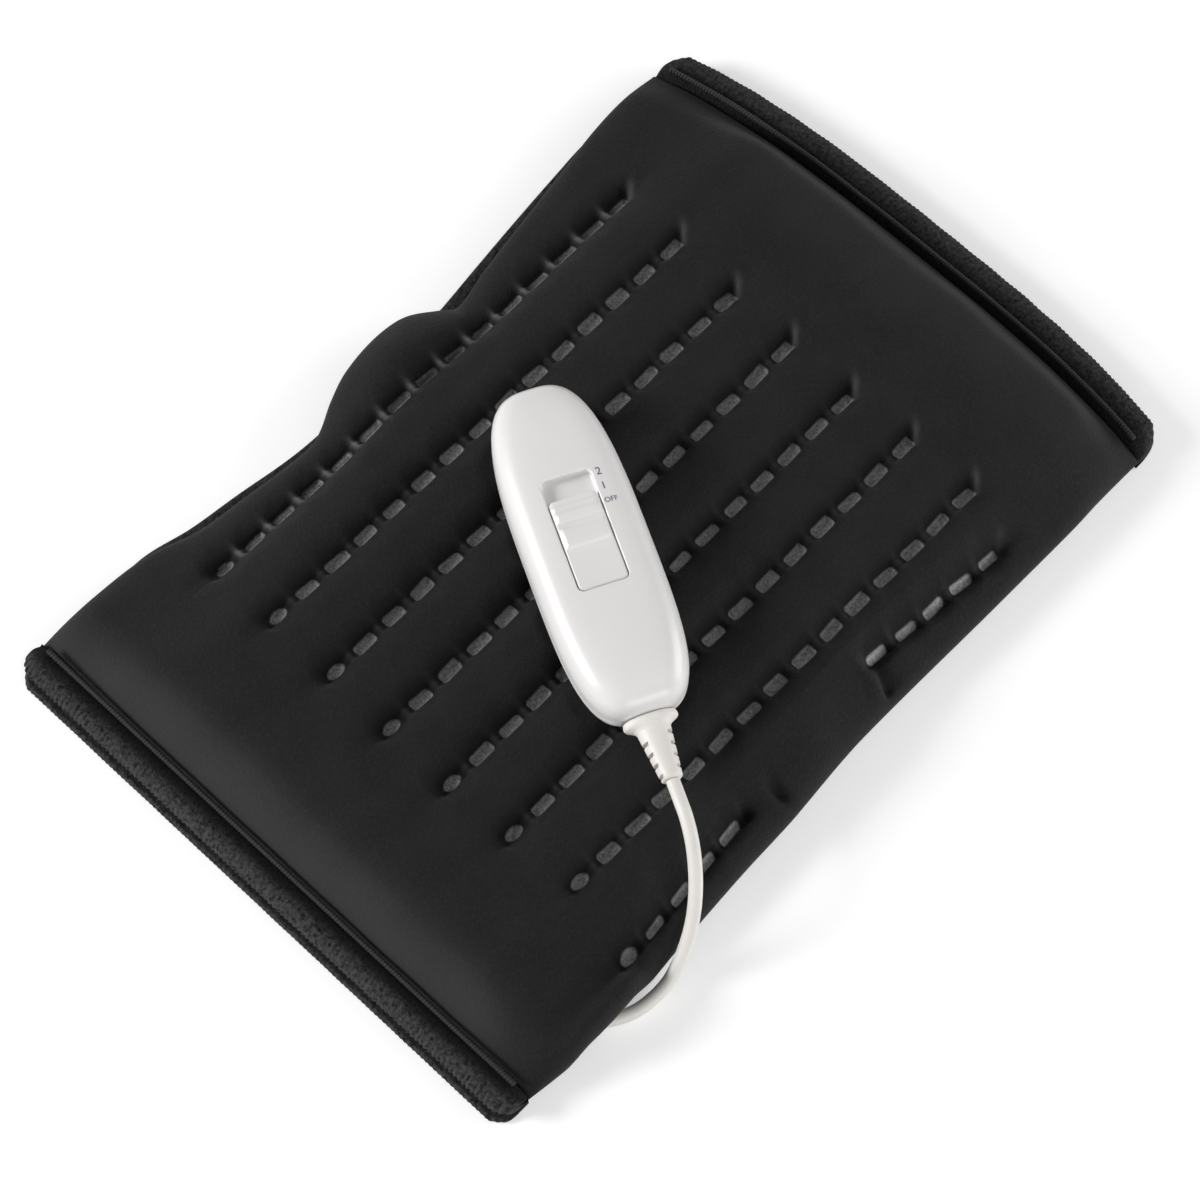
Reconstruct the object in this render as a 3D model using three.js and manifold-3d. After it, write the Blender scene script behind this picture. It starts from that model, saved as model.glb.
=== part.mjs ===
// Heating and massage pad with a wired hand control, millimetres, +Z up.
// The pad lies along X with its pocket end at -X. Its middle stands off the table over the wound lead,
// and the hand control lies on it. The origin is under the middle of the pad, on the table.
import * as THREE from 'three';
import { mergeVertices } from 'three/addons/utils/BufferGeometryUtils.js';
import Module from 'manifold-3d';

const wasm = await Module();
wasm.setup();

// Clearances shared by all the pieces
const gap = 0.3;
const overrun = 2;

// Pad, overall
const pad_length = 321;
const pad_width = 220;
const pad_thickness = 16;
const end_thickness = 12.3;
const hump_height = 12;
const pocket_band_width = 12.5;
const plain_band_width = 13;
const corner_draw_in = 9;
const band_end_taper = 5;
const band_end_share = 0.55;
const lip_thickness = 2.6;
const lip_overhang = 2;
const slit_height = 0.8;
const slit_opening = 3;
const sole_cut = 0.5;
const piping_diameter = 1.8;

// Quilted rows of weld spots
const row_count = 8;
const rows_width_share = 0.7923;
const rows_centre_share = -0.1045;
const channel_depth = 3.8;
const channel_run_out = 14;
const channel_sharpness = 2.4;
const stations_per_rib = 4;
const stations_along_rows = 12;

// Layers, from the table side up
const back_thickness = 4;
const carrier_thickness = 1;
const heating_wire_diameter = 2;
const edge_lip_height = 2.2;

// Where the middle comes down to the table, measured inward from each edge
const far_slope_start = 15;
const far_slope_run = 40;
const near_slope_start = 10;
const near_slope_run = 24;
const end_slope_run = 24;

// Rounding of the top along the long edges
const far_rounding = 22;
const near_rounding = 12;
const edge_squareness = 2.2;
const band_squareness = 0.8;
const near_row_margin = 11;
const end_rise_run = 30;

// Puffs in the top where the fabric gathers at mid-length
const far_puff_height = 8;
const far_puff_reach = 20;
const far_puff_depth = 14;
const near_puff_height = 5;

// Heater
const heater_margin = 9;
const wire_runs = 10;
const thermal_fuse_diameter = 4;
const thermal_fuse_length = 11;
const thermostat_width = 6.6;
const thermostat_length = 14;
const thermostat_height = 4.4;
const inner_lead_diameter = 1.6;
const lane_inset = 5;
const lane_bend = 3;

// Massage pods
const pod_width = 18;
const pod_length = 38;
const pod_height = 9.6;
const pod_corner = 6;
const pod_sole = 1.4;
const pod_wall = 1.2;
const motor_diameter = 7;
const motor_length = 17;
const shaft_diameter = 1;
const shaft_length = 10;
const shaft_seat = 2.7;
const weight_diameter = 6.4;
const weight_length = 5.5;
const pod_inset_pocket = 37.5;
const pod_inset_plain = 39;
const pod_clearance_pocket = 0.5;
const pod_clearance_plain = 3;

// Junction box under the back panel
const box_length = 38;
const box_width = 26;
const box_height = 10;
const box_wall = 1.8;
const box_corner = 4;
const box_end_inset = 45;
const box_pod_distance = 13;
const clamp_plate_thickness = 1;
const box_screw_diameter = 2.6;
const wire_hole_diameter = 7.2;
const socket_body = 9;
const socket_length = 12;
const socket_bore = 5.6;
const socket_pin = 2;
const gland_length = 18;
const gland_wall = 1;
const gland_flange = 1.2;

// Lead
const cord_diameter = 4.4;
const coil_gap = 0.5;
const coil_turns = 5;
const coil_mean_radius = 25.5;
const coil_steps_per_turn = 24;
const tie_thickness = 0.6;
const tie_width = 7;

// Hand control
const handset_length = 115;
const handset_width = 40;
const handset_top_height = 13.5;
const handset_base_height = 9.5;
const handset_wall = 2.2;
const handset_turn = THREE.MathUtils.degToRad(-27.5);
const handset_x = -16.5;
const handset_y = -6.6;
const handset_sink = 1;
const nose_exponent = 2.8;
const tail_exponent = 3.6;
const window_width = 16.6;
const window_depth = 3.2;
const window_corner = 2.2;
const window_offset = 2.6;
const slider_length = 31.4;
const slider_travel = 7;
const slider_plate = 2.3;
const grip_length = 17;
const grip_height = 1.8;
const stem_width = 4;
const stem_length = 8.4;
const tray_floor = 1.8;
const tray_wall = 2;
const carriage_width = 12.6;
const carriage_length = 15;
const carriage_height = 2.8;
const bridge_thickness = 0.5;
const contact_thickness = 0.4;
const board_width = 26;
const board_length = 50;
const board_thickness = 1.6;
const switch_base_height = 3;
const rail_thickness = 1.5;
const handset_screw_diameter = 2.6;
const handset_screw_head = 5;
const handset_screw_length = 12;
const nose_screw_inset = 11;
const tail_screw_inset = 18;
const screw_seat_rise = 5.3;
const boss_wall = 1.6;
const relief_length = 21;
const relief_collar_width = 17.6;
const relief_collar_height = 10.6;
const relief_tip = 7;
const relief_slits = 4;
const relief_slit_width = 1.1;
const relief_neck = 8;
const relief_waist_width_share = 0.62;
const relief_waist_height_share = 0.86;
const relief_core_share = 0.46;
const conductor_diameter = 1.3;
const conductor_pitch = 1.95;

// Values worked out from the sizes above
const half_length = pad_length / 2;
const half_width = pad_width / 2;
const pocket_seam_x = -half_length + pocket_band_width;
const plain_seam_x = half_length - plain_band_width;
const carrier_x0 = -half_length + pod_inset_pocket + pod_width + pod_clearance_pocket;
const carrier_x1 = half_length - pod_inset_plain - pod_width - pod_clearance_plain;
const rows_start_x = carrier_x0 + heater_margin;
const rows_end_x = carrier_x1 - 2 * heater_margin;
const rows_length = rows_end_x - rows_start_x;
const rows_centre_x = (rows_start_x + rows_end_x) / 2;
const rows_centre_y = half_width * rows_centre_share;
const row_pitch = (pad_width * rows_width_share) / (row_count - 1);
const first_row_y = rows_centre_y - (row_pitch * (row_count - 1)) / 2;
const last_row_y = first_row_y + row_pitch * (row_count - 1);
const seam_level = back_thickness + gap;
const carrier_top = seam_level + carrier_thickness;
const wire_level = carrier_top + gap + heating_wire_diameter / 2;
const heater_ceiling = carrier_top + heating_wire_diameter + 2 * gap;
const plateau_back_top = hump_height + back_thickness;
const handset_floor = hump_height + pad_thickness - handset_sink;
const handset_z = handset_floor + gap + handset_base_height;

// Outlines, as shares of half the length and half the width, hand-picked from the pocket end to the plain end
const far_edge_shares = [
  [-1, 0.966], [-0.78, 0.968], [-0.65, 0.95], [-0.54, 0.9], [-0.43, 0.88], [-0.25, 0.858],
  [-0.215, 0.874], [-0.155, 0.923], [-0.085, 0.958], [0.07, 0.958], [0.14, 0.9], [0.17, 0.868],
  [0.28, 0.892], [0.41, 0.917], [0.55, 0.943], [0.65, 0.966], [0.8, 1], [1, 0.99],
];
const back_far_edge_shares = [
  [-1, 0.956], [-0.78, 0.962], [-0.65, 0.956], [-0.54, 0.918], [-0.43, 0.9], [-0.25, 0.87], [0.05, 0.885],
  [0.16, 0.897], [0.28, 0.918], [0.41, 0.938], [0.55, 0.957], [0.65, 0.976], [0.8, 0.995], [1, 0.975],
];
const near_edge_shares = [
  [-1, 0.961], [-0.76, 1], [-0.46, 0.973], [-0.31, 0.961], [-0.17, 0.956], [0.04, 0.936],
  [0.44, 0.942], [0.7, 0.945], [0.78, 0.942], [1, 0.945],
];

// Helpers for numbers

function smooth(t) {
  const s = Math.min(Math.max(t, 0), 1);
  return s * s * (3 - 2 * s);
}

function bell(t) {
  return Math.exp(-t * t);
}

function stretch(from, to, count) {
  return Array.from({ length: count + 1 }, (_, i) => from + ((to - from) * i) / count);
}

// Rise from 0 to 1 like the shoulder of a rounded edge.
function roundedRise(t) {
  return (1 - (1 - Math.min(t, 1)) ** edge_squareness) ** (1 / edge_squareness);
}

// Value of a table of [place, value] at a place, eased between its entries.
function readTable(table, t) {
  const last = table.length - 1;
  if (t <= table[0][0]) return table[0][1];
  for (let i = 0; i < last; i += 1) {
    const [t0, v0] = table[i];
    const [t1, v1] = table[i + 1];
    if (t <= t1) return v0 + (v1 - v0) * smooth((t - t0) / (t1 - t0));
  }
  return table[last][1];
}

// Value at a place of straight lines drawn between stations.
function between(stations, values, t) {
  const last = stations.length - 1;
  if (t <= stations[0]) return values[0];
  for (let i = 0; i < last; i += 1) {
    if (t <= stations[i + 1]) {
      const f = (t - stations[i]) / (stations[i + 1] - stations[i]);
      return values[i] + (values[i + 1] - values[i]) * f;
    }
  }
  return values[last];
}

// Helpers for solids

// Faces of a closed body point out: they are turned round where its signed volume is negative.
function facingOut(geometry) {
  const p = geometry.attributes.position;
  const index = geometry.index.array;
  const [a, b, c] = [new THREE.Vector3(), new THREE.Vector3(), new THREE.Vector3()];
  let volume = 0;
  for (let i = 0; i < index.length; i += 3) {
    a.fromBufferAttribute(p, index[i]);
    b.fromBufferAttribute(p, index[i + 1]);
    c.fromBufferAttribute(p, index[i + 2]);
    volume += a.dot(b.cross(c));
  }
  if (volume < 0) {
    for (let i = 0; i < index.length; i += 3) {
      [index[i + 1], index[i + 2]] = [index[i + 2], index[i + 1]];
    }
  }
  return geometry;
}

// A four-sided patch is split along its shorter diagonal, so that parallel layers are split alike.
function splitsForward(a, aFar, b, bFar) {
  const difference = a.distanceTo(aFar) - b.distanceTo(bFar);
  if (Math.abs(difference) > gap / 1000) return difference < 0;
  return (aFar.x - a.x) * (aFar.y - a.y) > 0;
}

// Skin over a row of closed rings with the same number of points, with a fan over each end ring.
function loft(rings) {
  const sides = rings[0].length;
  const position = [];
  rings.forEach((ring) => ring.forEach((v) => position.push(v.x, v.y, v.z)));
  const index = [];
  for (let i = 0; i < rings.length - 1; i += 1) {
    for (let j = 0; j < sides; j += 1) {
      const next = (j + 1) % sides;
      const a = i * sides + j;
      const b = i * sides + next;
      if (splitsForward(rings[i][j], rings[i + 1][next], rings[i][next], rings[i + 1][j])) {
        index.push(a, b, b + sides, a, b + sides, a + sides);
      } else {
        index.push(a, b, a + sides, b, b + sides, a + sides);
      }
    }
  }
  [0, rings.length - 1].forEach((i) => {
    const centre = new THREE.Vector3();
    rings[i].forEach((v) => centre.addScaledVector(v, 1 / sides));
    const hub = position.length / 3;
    position.push(centre.x, centre.y, centre.z);
    for (let j = 0; j < sides; j += 1) {
      const a = i * sides + j;
      const b = i * sides + ((j + 1) % sides);
      if (i === 0) index.push(hub, b, a);
      else index.push(hub, a, b);
    }
  });
  const geometry = new THREE.BufferGeometry();
  geometry.setAttribute('position', new THREE.Float32BufferAttribute(position, 3));
  geometry.setIndex(index);
  return facingOut(geometry);
}

// Round tube through points, its section carried along without twisting.
function tubeThrough(points, radius, sides) {
  const rings = [];
  const normal = new THREE.Vector3();
  points.forEach((point, i) => {
    const before = points[Math.max(i - 1, 0)];
    const after = points[Math.min(i + 1, points.length - 1)];
    const along = new THREE.Vector3().subVectors(after, before).normalize();
    if (i === 0) normal.set(0, 0, 1);
    normal.addScaledVector(along, -normal.dot(along)).normalize();
    const across = new THREE.Vector3().crossVectors(along, normal);
    rings.push(Array.from({ length: sides }, (_, k) => {
      const turn = (2 * Math.PI * (k + 1 / 2)) / sides;
      return point.clone()
        .addScaledVector(normal, radius * Math.cos(turn))
        .addScaledVector(across, radius * Math.sin(turn));
    }));
  });
  return loft(rings);
}

function solidOf(geometry) {
  const bare = geometry.clone();
  bare.deleteAttribute('normal');
  bare.deleteAttribute('uv');
  const merged = mergeVertices(bare);
  return new wasm.Manifold(new wasm.Mesh({
    numProp: 3,
    vertProperties: new Float32Array(merged.attributes.position.array),
    triVerts: new Uint32Array(merged.index.array),
  }));
}

function geometryOf(solid) {
  const mesh = solid.getMesh();
  const geometry = new THREE.BufferGeometry();
  geometry.setAttribute('position', new THREE.Float32BufferAttribute(mesh.vertProperties, 3));
  geometry.setIndex(Array.from(mesh.triVerts));
  return geometry;
}

function shaped(base, added, removed) {
  let solid = solidOf(base);
  added.forEach((geometry) => { solid = solid.add(solidOf(geometry)); });
  removed.forEach((geometry) => { solid = solid.subtract(solidOf(geometry)); });
  return geometryOf(solid);
}

// Block between two corners.
function block(x0, y0, z0, x1, y1, z1) {
  return new THREE.BoxGeometry(x1 - x0, y1 - y0, z1 - z0)
    .translate((x0 + x1) / 2, (y0 + y1) / 2, (z0 + z1) / 2);
}

// Block with rounded upright edges, centred on x and y.
function roundedBlock(width, length, corner, x, y, z0, z1) {
  const shape = new THREE.Shape();
  const w = width / 2;
  const l = length / 2;
  shape.moveTo(corner - w, -l);
  shape.lineTo(w - corner, -l);
  shape.absarc(w - corner, corner - l, corner, -Math.PI / 2, 0);
  shape.lineTo(w, l - corner);
  shape.absarc(w - corner, l - corner, corner, 0, Math.PI / 2);
  shape.lineTo(corner - w, l);
  shape.absarc(corner - w, l - corner, corner, Math.PI / 2, Math.PI);
  shape.lineTo(-w, corner - l);
  shape.absarc(corner - w, corner - l, corner, Math.PI, 1.5 * Math.PI);
  const options = { depth: z1 - z0, bevelEnabled: false, curveSegments: 3 };
  return new THREE.ExtrudeGeometry(shape, options).translate(x, y, z0);
}

// Cylinder between two heights.
function upright(diameter, x, y, z0, z1, sides = 16) {
  return new THREE.CylinderGeometry(diameter / 2, diameter / 2, z1 - z0, sides)
    .rotateX(Math.PI / 2)
    .translate(x, y, (z0 + z1) / 2);
}

// Cylinder along y, or along x where asked.
function lying(diameter, x, y0, y1, z, sides = 16) {
  return new THREE.CylinderGeometry(diameter / 2, diameter / 2, y1 - y0, sides)
    .translate(x, (y0 + y1) / 2, z);
}

function lyingAlongX(diameter, x0, x1, y, z, sides = 16) {
  return new THREE.CylinderGeometry(diameter / 2, diameter / 2, x1 - x0, sides)
    .rotateZ(Math.PI / 2)
    .translate((x0 + x1) / 2, y, z);
}

// Side view in y and z, carried across x.
function profileAcross(points, x0, x1) {
  const shape = new THREE.Shape(points.map(([y, z]) => new THREE.Vector2(y, z)));
  const geometry = new THREE.ExtrudeGeometry(shape, { depth: x1 - x0, bevelEnabled: false });
  return geometry.rotateX(Math.PI / 2).rotateZ(Math.PI / 2).translate(x0, 0, 0);
}

// Materials

const neoprene = { color: 0x262628, roughness: 0.92, metalness: 0 };
const fleece = { color: 0x1f1f21, roughness: 1, metalness: 0 };
const scrim = { color: 0xd9d6cc, roughness: 0.95, metalness: 0 };
const wire_red = { color: 0xa2382c, roughness: 0.6, metalness: 0 };
const white_gloss = { color: 0xf1f1ef, roughness: 0.3, metalness: 0 };
const white_soft = { color: 0xece9e0, roughness: 0.5, metalness: 0 };
const black_plastic = { color: 0x1b1b1d, roughness: 0.5, metalness: 0 };
const green_board = { color: 0x2e6b3c, roughness: 0.5, metalness: 0 };
const steel = { color: 0xb9bcc0, roughness: 0.35, metalness: 1 };
const brass = { color: 0xc2a35a, roughness: 0.35, metalness: 1 };

const pad = new THREE.Group();
pad.name = 'heating_pad';

function place(parent, name, geometry, finish) {
  const mesh = new THREE.Mesh(geometry, new THREE.MeshStandardMaterial(finish));
  mesh.name = name;
  parent.add(mesh);
  return mesh;
}

// Form of the pad

const slope_steps = 3;
const flat_steps = 3;
const end_slope_steps = 4;
const near_slope_y = -half_width + near_slope_start;
const far_slope_y = half_width - far_slope_start;
const near_stations = stretch(near_slope_y, near_slope_y + near_slope_run, slope_steps);
const far_stations = stretch(far_slope_y - far_slope_run, far_slope_y, slope_steps);
const pocket_stations = stretch(pocket_seam_x, pocket_seam_x + end_slope_run, end_slope_steps);
const plain_stations = stretch(plain_seam_x - end_slope_run, plain_seam_x, end_slope_steps);
const rising = (steps) => stretch(0, 1, steps).map(smooth);
const falling = (steps) => rising(steps).reverse();

const lift_stations_x = [...pocket_stations, ...plain_stations];
const lift_values_x = [...rising(end_slope_steps), ...falling(end_slope_steps)];
const lift_stations_y = [...near_stations, ...far_stations];
const lift_values_y = [...rising(slope_steps), ...falling(slope_steps)];
const flat_stations = stretch(near_slope_y + near_slope_run, far_slope_y - far_slope_run, flat_steps);
const underside_stations = [...near_stations, ...flat_stations.slice(1, -1), ...far_stations];

// How far the pad's layers stand off the table.
function lift(x, y) {
  const along = between(lift_stations_x, lift_values_x, x);
  const across = between(lift_stations_y, lift_values_y, y);
  return hump_height * along * across;
}

// The lead passes under the near edge here, and lifts it.
const passage_x = -114.5;
const passage_reach = 20;
const passage_clearance = 1.2;
const passage_height = cord_diameter + passage_clearance;

function passage(x, y) {
  const along = smooth(1 - Math.abs(x - passage_x) / passage_reach);
  const under = smooth((near_slope_y + near_slope_run - y) / near_slope_run);
  return passage_height * Math.min(1, 2 * along) * Math.min(1, 2 * under);
}

function underside(x, y) {
  return Math.max(lift(x, y), passage(x, y));
}

function farEdge(x) {
  return half_width * readTable(far_edge_shares, x / half_length);
}

function backFarEdge(x) {
  return half_width * readTable(back_far_edge_shares, x / half_length);
}

function nearEdge(x) {
  return -half_width * readTable(near_edge_shares, x / half_length);
}

// The plain end is drawn in at its corners, more so towards the seam.
function drawnIn(x, y) {
  const towardsSeam = smooth((x - rows_end_x) / (plain_seam_x - rows_end_x));
  return x - corner_draw_in * towardsSeam * Math.abs(y / half_width) ** 3;
}

// Depth of the channels at a place, 0 on a rib and at the plain ends.
function channel(x, rowPhase) {
  const fade = smooth((rows_length / 2 + channel_run_out - Math.abs(x - rows_centre_x)) / channel_run_out);
  return channel_depth * fade * Math.abs(Math.cos(Math.PI * rowPhase)) ** channel_sharpness;
}

function handsetFrame(x, y) {
  const dx = x - handset_x;
  const dy = y - handset_y;
  const c = Math.cos(handset_turn);
  const s = Math.sin(handset_turn);
  return [c * dx + s * dy, -s * dx + c * dy];
}

// The top is pressed level under the hand control.
const press_margin = 9;
function pressed(x, y, z) {
  const [across, along] = handsetFrame(x, y);
  const inside = Math.abs(across) < handset_width / 2 + press_margin
    && Math.abs(along) < handset_length / 2 + press_margin;
  return inside ? Math.min(z, handset_floor) : z;
}

function topHeight(x, y, rowPhase) {
  const fromFar = farEdge(x) - y;
  const fromNear = y - nearEdge(x);
  const roundFar = roundedRise(fromFar / far_rounding);
  const roundNear = roundedRise(fromNear / near_rounding);
  const fromEnd = Math.min(x - pocket_seam_x, plain_seam_x - x);
  const crest = end_thickness + (pad_thickness - end_thickness) * smooth(fromEnd / end_rise_run);
  const edge = seam_level + edge_lip_height;
  const body = edge + (crest - edge) * Math.min(roundFar, roundNear);
  const farPuff = far_puff_height * bell((x + far_puff_reach / 4) / far_puff_reach)
    * bell((fromFar - far_puff_depth) / far_puff_depth);
  const nearPuff = near_puff_height * bell((x + far_puff_reach / 2) / far_puff_reach)
    * bell((fromNear - near_row_margin) / near_row_margin);
  const quilt = Math.min(channel(x, rowPhase), body - edge);
  return pressed(x, y, underside(x, y) + body + farPuff + nearPuff - quilt);
}

// Stations across the top: the near margin, four steps to a rib, and the far margin.
// Each is [place between the near edge and the far edge, phase of the row].
function topStations(x) {
  const near = nearEdge(x);
  const far = farEdge(x);
  const ribs = (row_count - 1) * stations_per_rib;
  const stations = [[near, 1 / 2], [near + near_row_margin / 2, 1 / 2]];
  for (let k = 0; k <= ribs; k += 1) {
    const phase = k / stations_per_rib;
    const nominal = first_row_y + row_pitch * phase;
    const pull = Math.max(0, 1 - phase) * (near + near_row_margin - first_row_y);
    stations.push([nominal + pull, phase]);
  }
  const margin = far - last_row_y;
  stations.push([last_row_y + margin / 3, 1 / 2 + 1 / 8]);
  stations.push([last_row_y + margin * (3 / 4), 1 / 2]);
  stations.push([far, 1 / 2]);
  return stations;
}

const middle_stations = [
  pocket_seam_x + end_slope_run + channel_run_out,
  ...stretch(rows_start_x, rows_end_x, stations_along_rows),
  rows_end_x + channel_run_out,
];
const pad_stations_x = [...pocket_stations, ...middle_stations, ...plain_stations];

// One ring of a layer: up its top from the near edge to the far edge, and back along its underside.
function layerRing(x, top, bottomY, bottomZ) {
  const ring = top.map(([y, z]) => new THREE.Vector3(drawnIn(x, y), y, z));
  bottomY.slice().reverse().forEach((y) => ring.push(new THREE.Vector3(drawnIn(x, y), y, bottomZ(y))));
  return ring;
}

function podSites() {
  return [
    { side: 'pocket', x: -half_length + pod_inset_pocket + pod_width / 2, y: 0 },
    { side: 'plain', x: half_length - pod_inset_plain - pod_width / 2, y: 0 },
  ];
}

const pod_floor = hump_height + pod_sole + gap;
const pod_top = pod_floor + pod_height;

function podPocket(site, z0, z1) {
  return roundedBlock(pod_width + 2 * gap, pod_length + 2 * gap, pod_corner + gap, site.x, site.y, z0, z1);
}

const carrier_y0 = near_slope_y + near_slope_run;
const carrier_y1 = far_slope_y - far_slope_run;

const box_x1 = half_length - box_end_inset;
const box_x0 = box_x1 - box_length;
const wire_hole_x = box_x1 - box_length / 4;
const box_y = -pod_length / 2 - box_pod_distance - box_width / 2;
const box_top = hump_height - gap;
const box_bottom = box_top - box_height;
const box_floor = box_bottom + box_wall;
const box_axis_z = (box_floor + box_top) / 2;

const lane_x = carrier_x1 - lane_inset;
const thermostat_x = lane_x - 2 * gap;
const fuse_z = hump_height + carrier_top + gap + thermal_fuse_diameter / 2;

function makePadPanels() {
  const frontRings = pad_stations_x.map((x) => {
    const top = topStations(x).map(([y, phase]) => [y, topHeight(x, y, phase)]);
    const bottomY = [nearEdge(x), ...underside_stations, farEdge(x)];
    return layerRing(x, top, bottomY, (y) => underside(x, y) + seam_level);
  });
  const ceiling = hump_height + heater_ceiling;
  const below = hump_height;
  const recess = block(
    carrier_x0 - gap, carrier_y0 - gap, below, carrier_x1 + gap, carrier_y1 + gap, ceiling,
  );
  const lane = block(
    thermostat_x - thermostat_width / 2 - gap, carrier_y0 - gap, below,
    carrier_x1 + gap, carrier_y1 + gap, hump_height + carrier_top + thermostat_height + 3 * gap,
  );
  const plateWay = block(
    carrier_x1 - gap, box_y - box_width / 2 - gap, below,
    box_x1 + gap, box_y + box_width / 2 + gap, ceiling,
  );
  const [pocketSite, plainSite] = podSites();
  const plainWay = block(
    carrier_x1 - gap, box_y, below,
    plainSite.x, plainSite.y - pod_length / 2 + pod_corner + inner_lead_diameter, ceiling,
  );
  const pods = podSites().map((site) => podPocket(site, below, pod_top + gap));
  const ways = [plateWay, plainWay, leadChannel(pocketSite, ceiling)];
  place(pad, 'front_panel', shaped(loft(frontRings), [], [recess, lane, ...pods, ...ways]), neoprene);

  const backRings = pad_stations_x.map((x) => {
    const inset = edge_lip_height / 2;
    const edges = [nearEdge(x) + inset, ...underside_stations, backFarEdge(x)];
    const top = edges.map((y) => [y, underside(x, y) + back_thickness]);
    return layerRing(x, top, edges, (y) => underside(x, y));
  });
  const podBeds = podSites().map((site) => podPocket(site, pod_floor - gap, pod_top));
  const wireHole = upright(wire_hole_diameter, wire_hole_x, box_y, 0, pod_top);
  const screwHoles = boxScrewSites().map(([x, y]) => (
    upright(box_screw_diameter + 2 * gap, x, y, 0, pod_top, 12)
  ));
  place(pad, 'back_panel', shaped(loft(backRings), [], [...podBeds, wireHole, ...screwHoles]), fleece);
}

// Way through the foam for the lead of a massage motor.
function leadChannel(site, ceiling) {
  const width = inner_lead_diameter + 4 * gap;
  const y = site.y - pod_length / 2 + pod_corner;
  return block(site.x, y - width / 2, hump_height, carrier_x0 + gap, y + width / 2, ceiling);
}

// Section of an end band in x and z: a half oval that starts and ends at the seam.
function bandRing(seamX, reach, side, y, z0, z1) {
  const steps = 9;
  const middle = (z0 + z1) / 2;
  const half = (z1 - z0) / 2;
  return Array.from({ length: steps + 1 }, (_, k) => {
    const turn = Math.PI * (1 / 2 - k / steps);
    const out = Math.abs(Math.cos(turn)) ** band_squareness * reach;
    const up = Math.sign(Math.sin(turn)) * Math.abs(Math.sin(turn)) ** band_squareness * half;
    return new THREE.Vector3(seamX + side * out, y, middle + up);
  });
}

const band_steps = 14;

// Height and reach of a band shrink over its last few millimetres, so its ends are rounded.
function bandEnds(y, y0, y1) {
  const fromEnd = Math.min(y - y0, y1 - y) / band_end_taper;
  return band_end_share + (1 - band_end_share) * Math.sqrt(Math.min(1, fromEnd));
}

function bandStations(y0, y1) {
  return [y0, y0 + band_end_taper / 2, ...stretch(y0 + band_end_taper, y1 - band_end_taper, band_steps),
    y1 - band_end_taper / 2, y1];
}

const band_top = end_thickness + gap;

// The pocket gapes towards its far corner, where the lip falls away from the band.
function slit(y) {
  return slit_height + slit_opening * smooth((y + half_width / 8) / half_width);
}

function makeEndBands() {
  const seamX = pocket_seam_x - gap;
  const y0 = nearEdge(seamX) + gap;
  const y1 = farEdge(seamX) - gap;
  const pocketRings = bandStations(y0, y1).map((y) => {
    const k = bandEnds(y, y0, y1);
    const floor = lip_thickness + slit(y);
    const reach = (pocket_band_width - lip_overhang) * k;
    return bandRing(seamX, reach, -1, y, floor, floor + (band_top - floor) * k);
  });
  place(pad, 'end_band_pocket', loft(pocketRings), fleece);

  const lipRings = bandStations(y0, y1).map((y) => (
    bandRing(seamX, (pocket_band_width - gap) * bandEnds(y, y0, y1), -1, y, -sole_cut, lip_thickness)
  ));
  const floorCut = block(-pad_length, -pad_width, -pad_thickness, pad_length, pad_width, 0);
  place(pad, 'pocket_lip', shaped(loft(lipRings), [], [floorCut]), fleece);

  const end0 = nearEdge(plain_seam_x) + gap;
  const end1 = farEdge(plain_seam_x) - gap;
  const plainRings = bandStations(end0, end1).map((y) => {
    const k = bandEnds(y, end0, end1);
    const x = drawnIn(plain_seam_x, y) + gap;
    const tuck = corner_draw_in / 8 * Math.abs(y / half_width) ** 3;
    return bandRing(x, (plain_band_width - gap) * k - tuck, 1, y, -sole_cut, band_top * k);
  });
  place(pad, 'end_band_plain', shaped(loft(plainRings), [], [floorCut]), fleece);
}

// A thin bead lies in the groove between the panel and each end band.
function makePiping() {
  const level = band_top + gap + piping_diameter / 2;
  const y0 = nearEdge(pocket_seam_x) + band_end_taper;
  const y1 = farEdge(pocket_seam_x) - band_end_taper;
  const pocketLine = stretch(y0, y1, band_steps)
    .map((y) => new THREE.Vector3(pocket_seam_x - gap / 2, y, level));
  place(pad, 'seam_piping_pocket', tubeThrough(pocketLine, piping_diameter / 2, 6), neoprene);
  const end0 = nearEdge(plain_seam_x) + band_end_taper;
  const end1 = farEdge(plain_seam_x) - band_end_taper;
  const plainLine = stretch(end0, end1, band_steps)
    .map((y) => new THREE.Vector3(drawnIn(plain_seam_x, y) + gap / 2, y, level));
  place(pad, 'seam_piping_plain', tubeThrough(plainLine, piping_diameter / 2, 6), neoprene);
}

// Heater

const run_x0 = rows_start_x + heater_margin / 2;
const run_x1 = rows_end_x - heater_margin / 8;
const first_run_y = carrier_y0 + heater_margin;
const wire_pitch = (carrier_y1 - carrier_y0 - 2 * heater_margin) / (wire_runs - 1);
const last_run_y = first_run_y + wire_pitch * (wire_runs - 1);

const fuse_y = first_run_y + lane_bend + gap;
const thermostat_y = last_run_y - lane_bend - gap - thermostat_length;

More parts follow.
